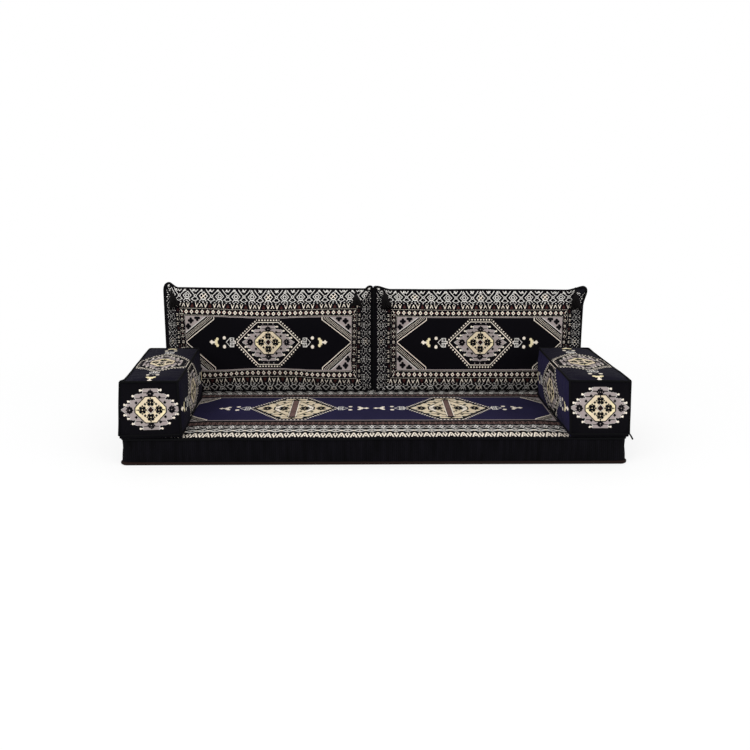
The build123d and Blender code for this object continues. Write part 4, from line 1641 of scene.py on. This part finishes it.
@dataclass
class Studio:
    """The plain floor, the soft light and the camera at the photograph's place."""

    camera_place: Vector = field(default_factory=lambda: Vector((-0.0368, -3.2497, 1.125)))
    pitch: float = 0.2576
    yaw: float = 0.0130
    roll: float = 0.0015
    lens: float = 36.69

    def build(self) -> None:
        """Set up the studio."""
        floor_shape = bmesh.new()
        bmesh.ops.create_grid(floor_shape, x_segments=1, y_segments=1, size=12.0)
        floor = finish_mesh("studio_floor", floor_shape, [self.floor_finish()])
        self.world()
        self.lamp("key_light", (-2.2, -3.2, 3.0), 3.0, 78.0)
        self.lamp("fill_light", (2.6, -2.6, 2.4), 3.0, 45.0)
        camera_data = bpy.data.cameras.new("photo_camera")
        camera_data.lens = self.lens
        camera_data.sensor_width = 36.0
        camera_data.clip_end = 100.0
        camera = bpy.data.objects.new("photo_camera", camera_data)
        camera.matrix_world = (
            Matrix.Translation(self.camera_place)
            @ Matrix.Rotation(-self.yaw, 4, "Z")
            @ Matrix.Rotation(math.pi / 2 - self.pitch, 4, "X")
            @ Matrix.Rotation(self.roll, 4, "Z")
        )
        bpy.context.scene.collection.objects.link(camera)
        bpy.context.scene.camera = camera
        bpy.context.scene.view_settings.view_transform = "Standard"

    def floor_finish(self) -> bpy.types.Material:
        """A plain white floor that keeps the sofa's soft shadow."""
        material, tree, shader = new_material("studio_floor_white")
        fill_inputs(
            tree, shader, {"Base Color": (0.86, 0.86, 0.86, 1.0), "Roughness": 1.0, "Specular IOR Level": 0.0}
        )
        white = add_node(tree, "Emission", {})
        place = add_node(tree, "TexCoord", {}).outputs["Object"]
        distance = add_node(tree, "VectorMath", {0: place}, "LENGTH").outputs["Value"]
        fade = add_node(
            tree, "MapRange", {"From Min": 1.1, "From Max": 2.6, "To Min": 0.75, "To Max": 1.0, "Value": distance}
        )
        share = add_node(tree, "Math", {0: self.seen(tree), 1: fade.outputs["Result"]}, "MULTIPLY")
        mix = add_node(tree, "MixShader", {0: share.outputs[0], 1: shader.outputs[0], 2: white.outputs[0]})
        fill_inputs(tree, tree.nodes["Material Output"], {"Surface": mix.outputs[0]})
        return material

    def seen(self, tree: bpy.types.NodeTree) -> Socket:
        """1 for rays from the camera, straight, mirrored or through glass, otherwise 0."""
        paths = add_node(tree, "LightPath", {})
        total = paths.outputs["Is Camera Ray"]
        for name in ("Is Glossy Ray", "Is Transmission Ray"):
            total = add_node(tree, "Math", {0: total, 1: paths.outputs[name]}, "MAXIMUM").outputs[0]
        return total

    def world(self) -> None:
        """A soft white sky that is pure white to the camera."""
        world = bpy.data.worlds.new("studio_sky")
        world.use_nodes = True
        tree = world.node_tree
        strength = add_node(tree, "MapRange", {"To Min": 0.9, "To Max": 1.0, "Value": self.seen(tree)})
        white = (1.0, 1.0, 1.0, 1.0)
        fill_inputs(tree, tree.nodes["Background"], {"Color": white, "Strength": strength.outputs["Result"]})
        bpy.context.scene.world = world

    def lamp(self, name: str, place: tuple[float, float, float], size: float, power: float) -> None:
        """Add a large soft lamp that points at the sofa."""
        data = bpy.data.lights.new(name, "AREA")
        data.size = size
        data.energy = power
        lamp = bpy.data.objects.new(name, data)
        lamp.location = place
        lamp.rotation_mode = "QUATERNION"
        lamp.rotation_quaternion = (Vector((0, 0, 0.25)) - Vector(place)).to_track_quat("-Z", "Y")
        bpy.context.scene.collection.objects.link(lamp)


def main() -> None:
    """Build the studio, then the sofa piece by piece, and report each."""
    Studio().build()
    finishes = Finishes()
    filler = Filler()
    assemblies: list[Union[SeatMattress, ArmBolster, BackCushion]] = [
        SeatMattress(),
        ArmBolster("left_arm", -1, 3.5, Slump(0.0, 9 * MM, 0.0, 14 * MM, 14 * MM, loose_tail=False)),
        ArmBolster("right_arm", 1, 0.0, Slump(3 * MM, 19 * MM, 10 * MM, 8 * MM, 0.0, loose_tail=True)),
        BackCushion(
            "left_back", -1,
            Corner(493 * MM, 500 * MM, 0.0, 23 * MM, 68 * MM, 28 * MM),
            Corner(497.7 * MM, 494 * MM, 0.0, 12 * MM, 35 * MM, 6 * MM, 5 * MM),
        ),
        BackCushion(
            "right_back", 1,
            Corner(505.7 * MM, 492 * MM, 0.0, 13 * MM, 80 * MM, 6 * MM, -5 * MM),
            Corner(499 * MM, 489 * MM, 20 * MM, 16 * MM, 80 * MM, 28 * MM),
        ),
    ]
    pieces = [piece for assembly in assemblies for piece in assembly.build(finishes, filler)]
    filler.run()
    tassels = (
        Tassel("left_back_left_tassel", sway=14.0),
        Tassel("left_back_right_tassel", tilt=25.0, reach=10.5 * MM, sway=4.0, skirt_length=56 * MM),
        Tassel("right_back_left_tassel", sway=7.0),
        Tassel("right_back_right_tassel"),
    )
    for tassel in tassels:
        pieces += tassel.build(finishes)
    for piece in pieces:
        log.info("%s: %d faces", piece.name, len(piece.data.polygons))
    for owner in ("seat", "left_arm", "right_arm", "left_back", "right_back"):
        ZipDressing(owner).build(finishes)
        log.info("%s: zip dressed", owner)


if __name__ == "__main__":
    main()
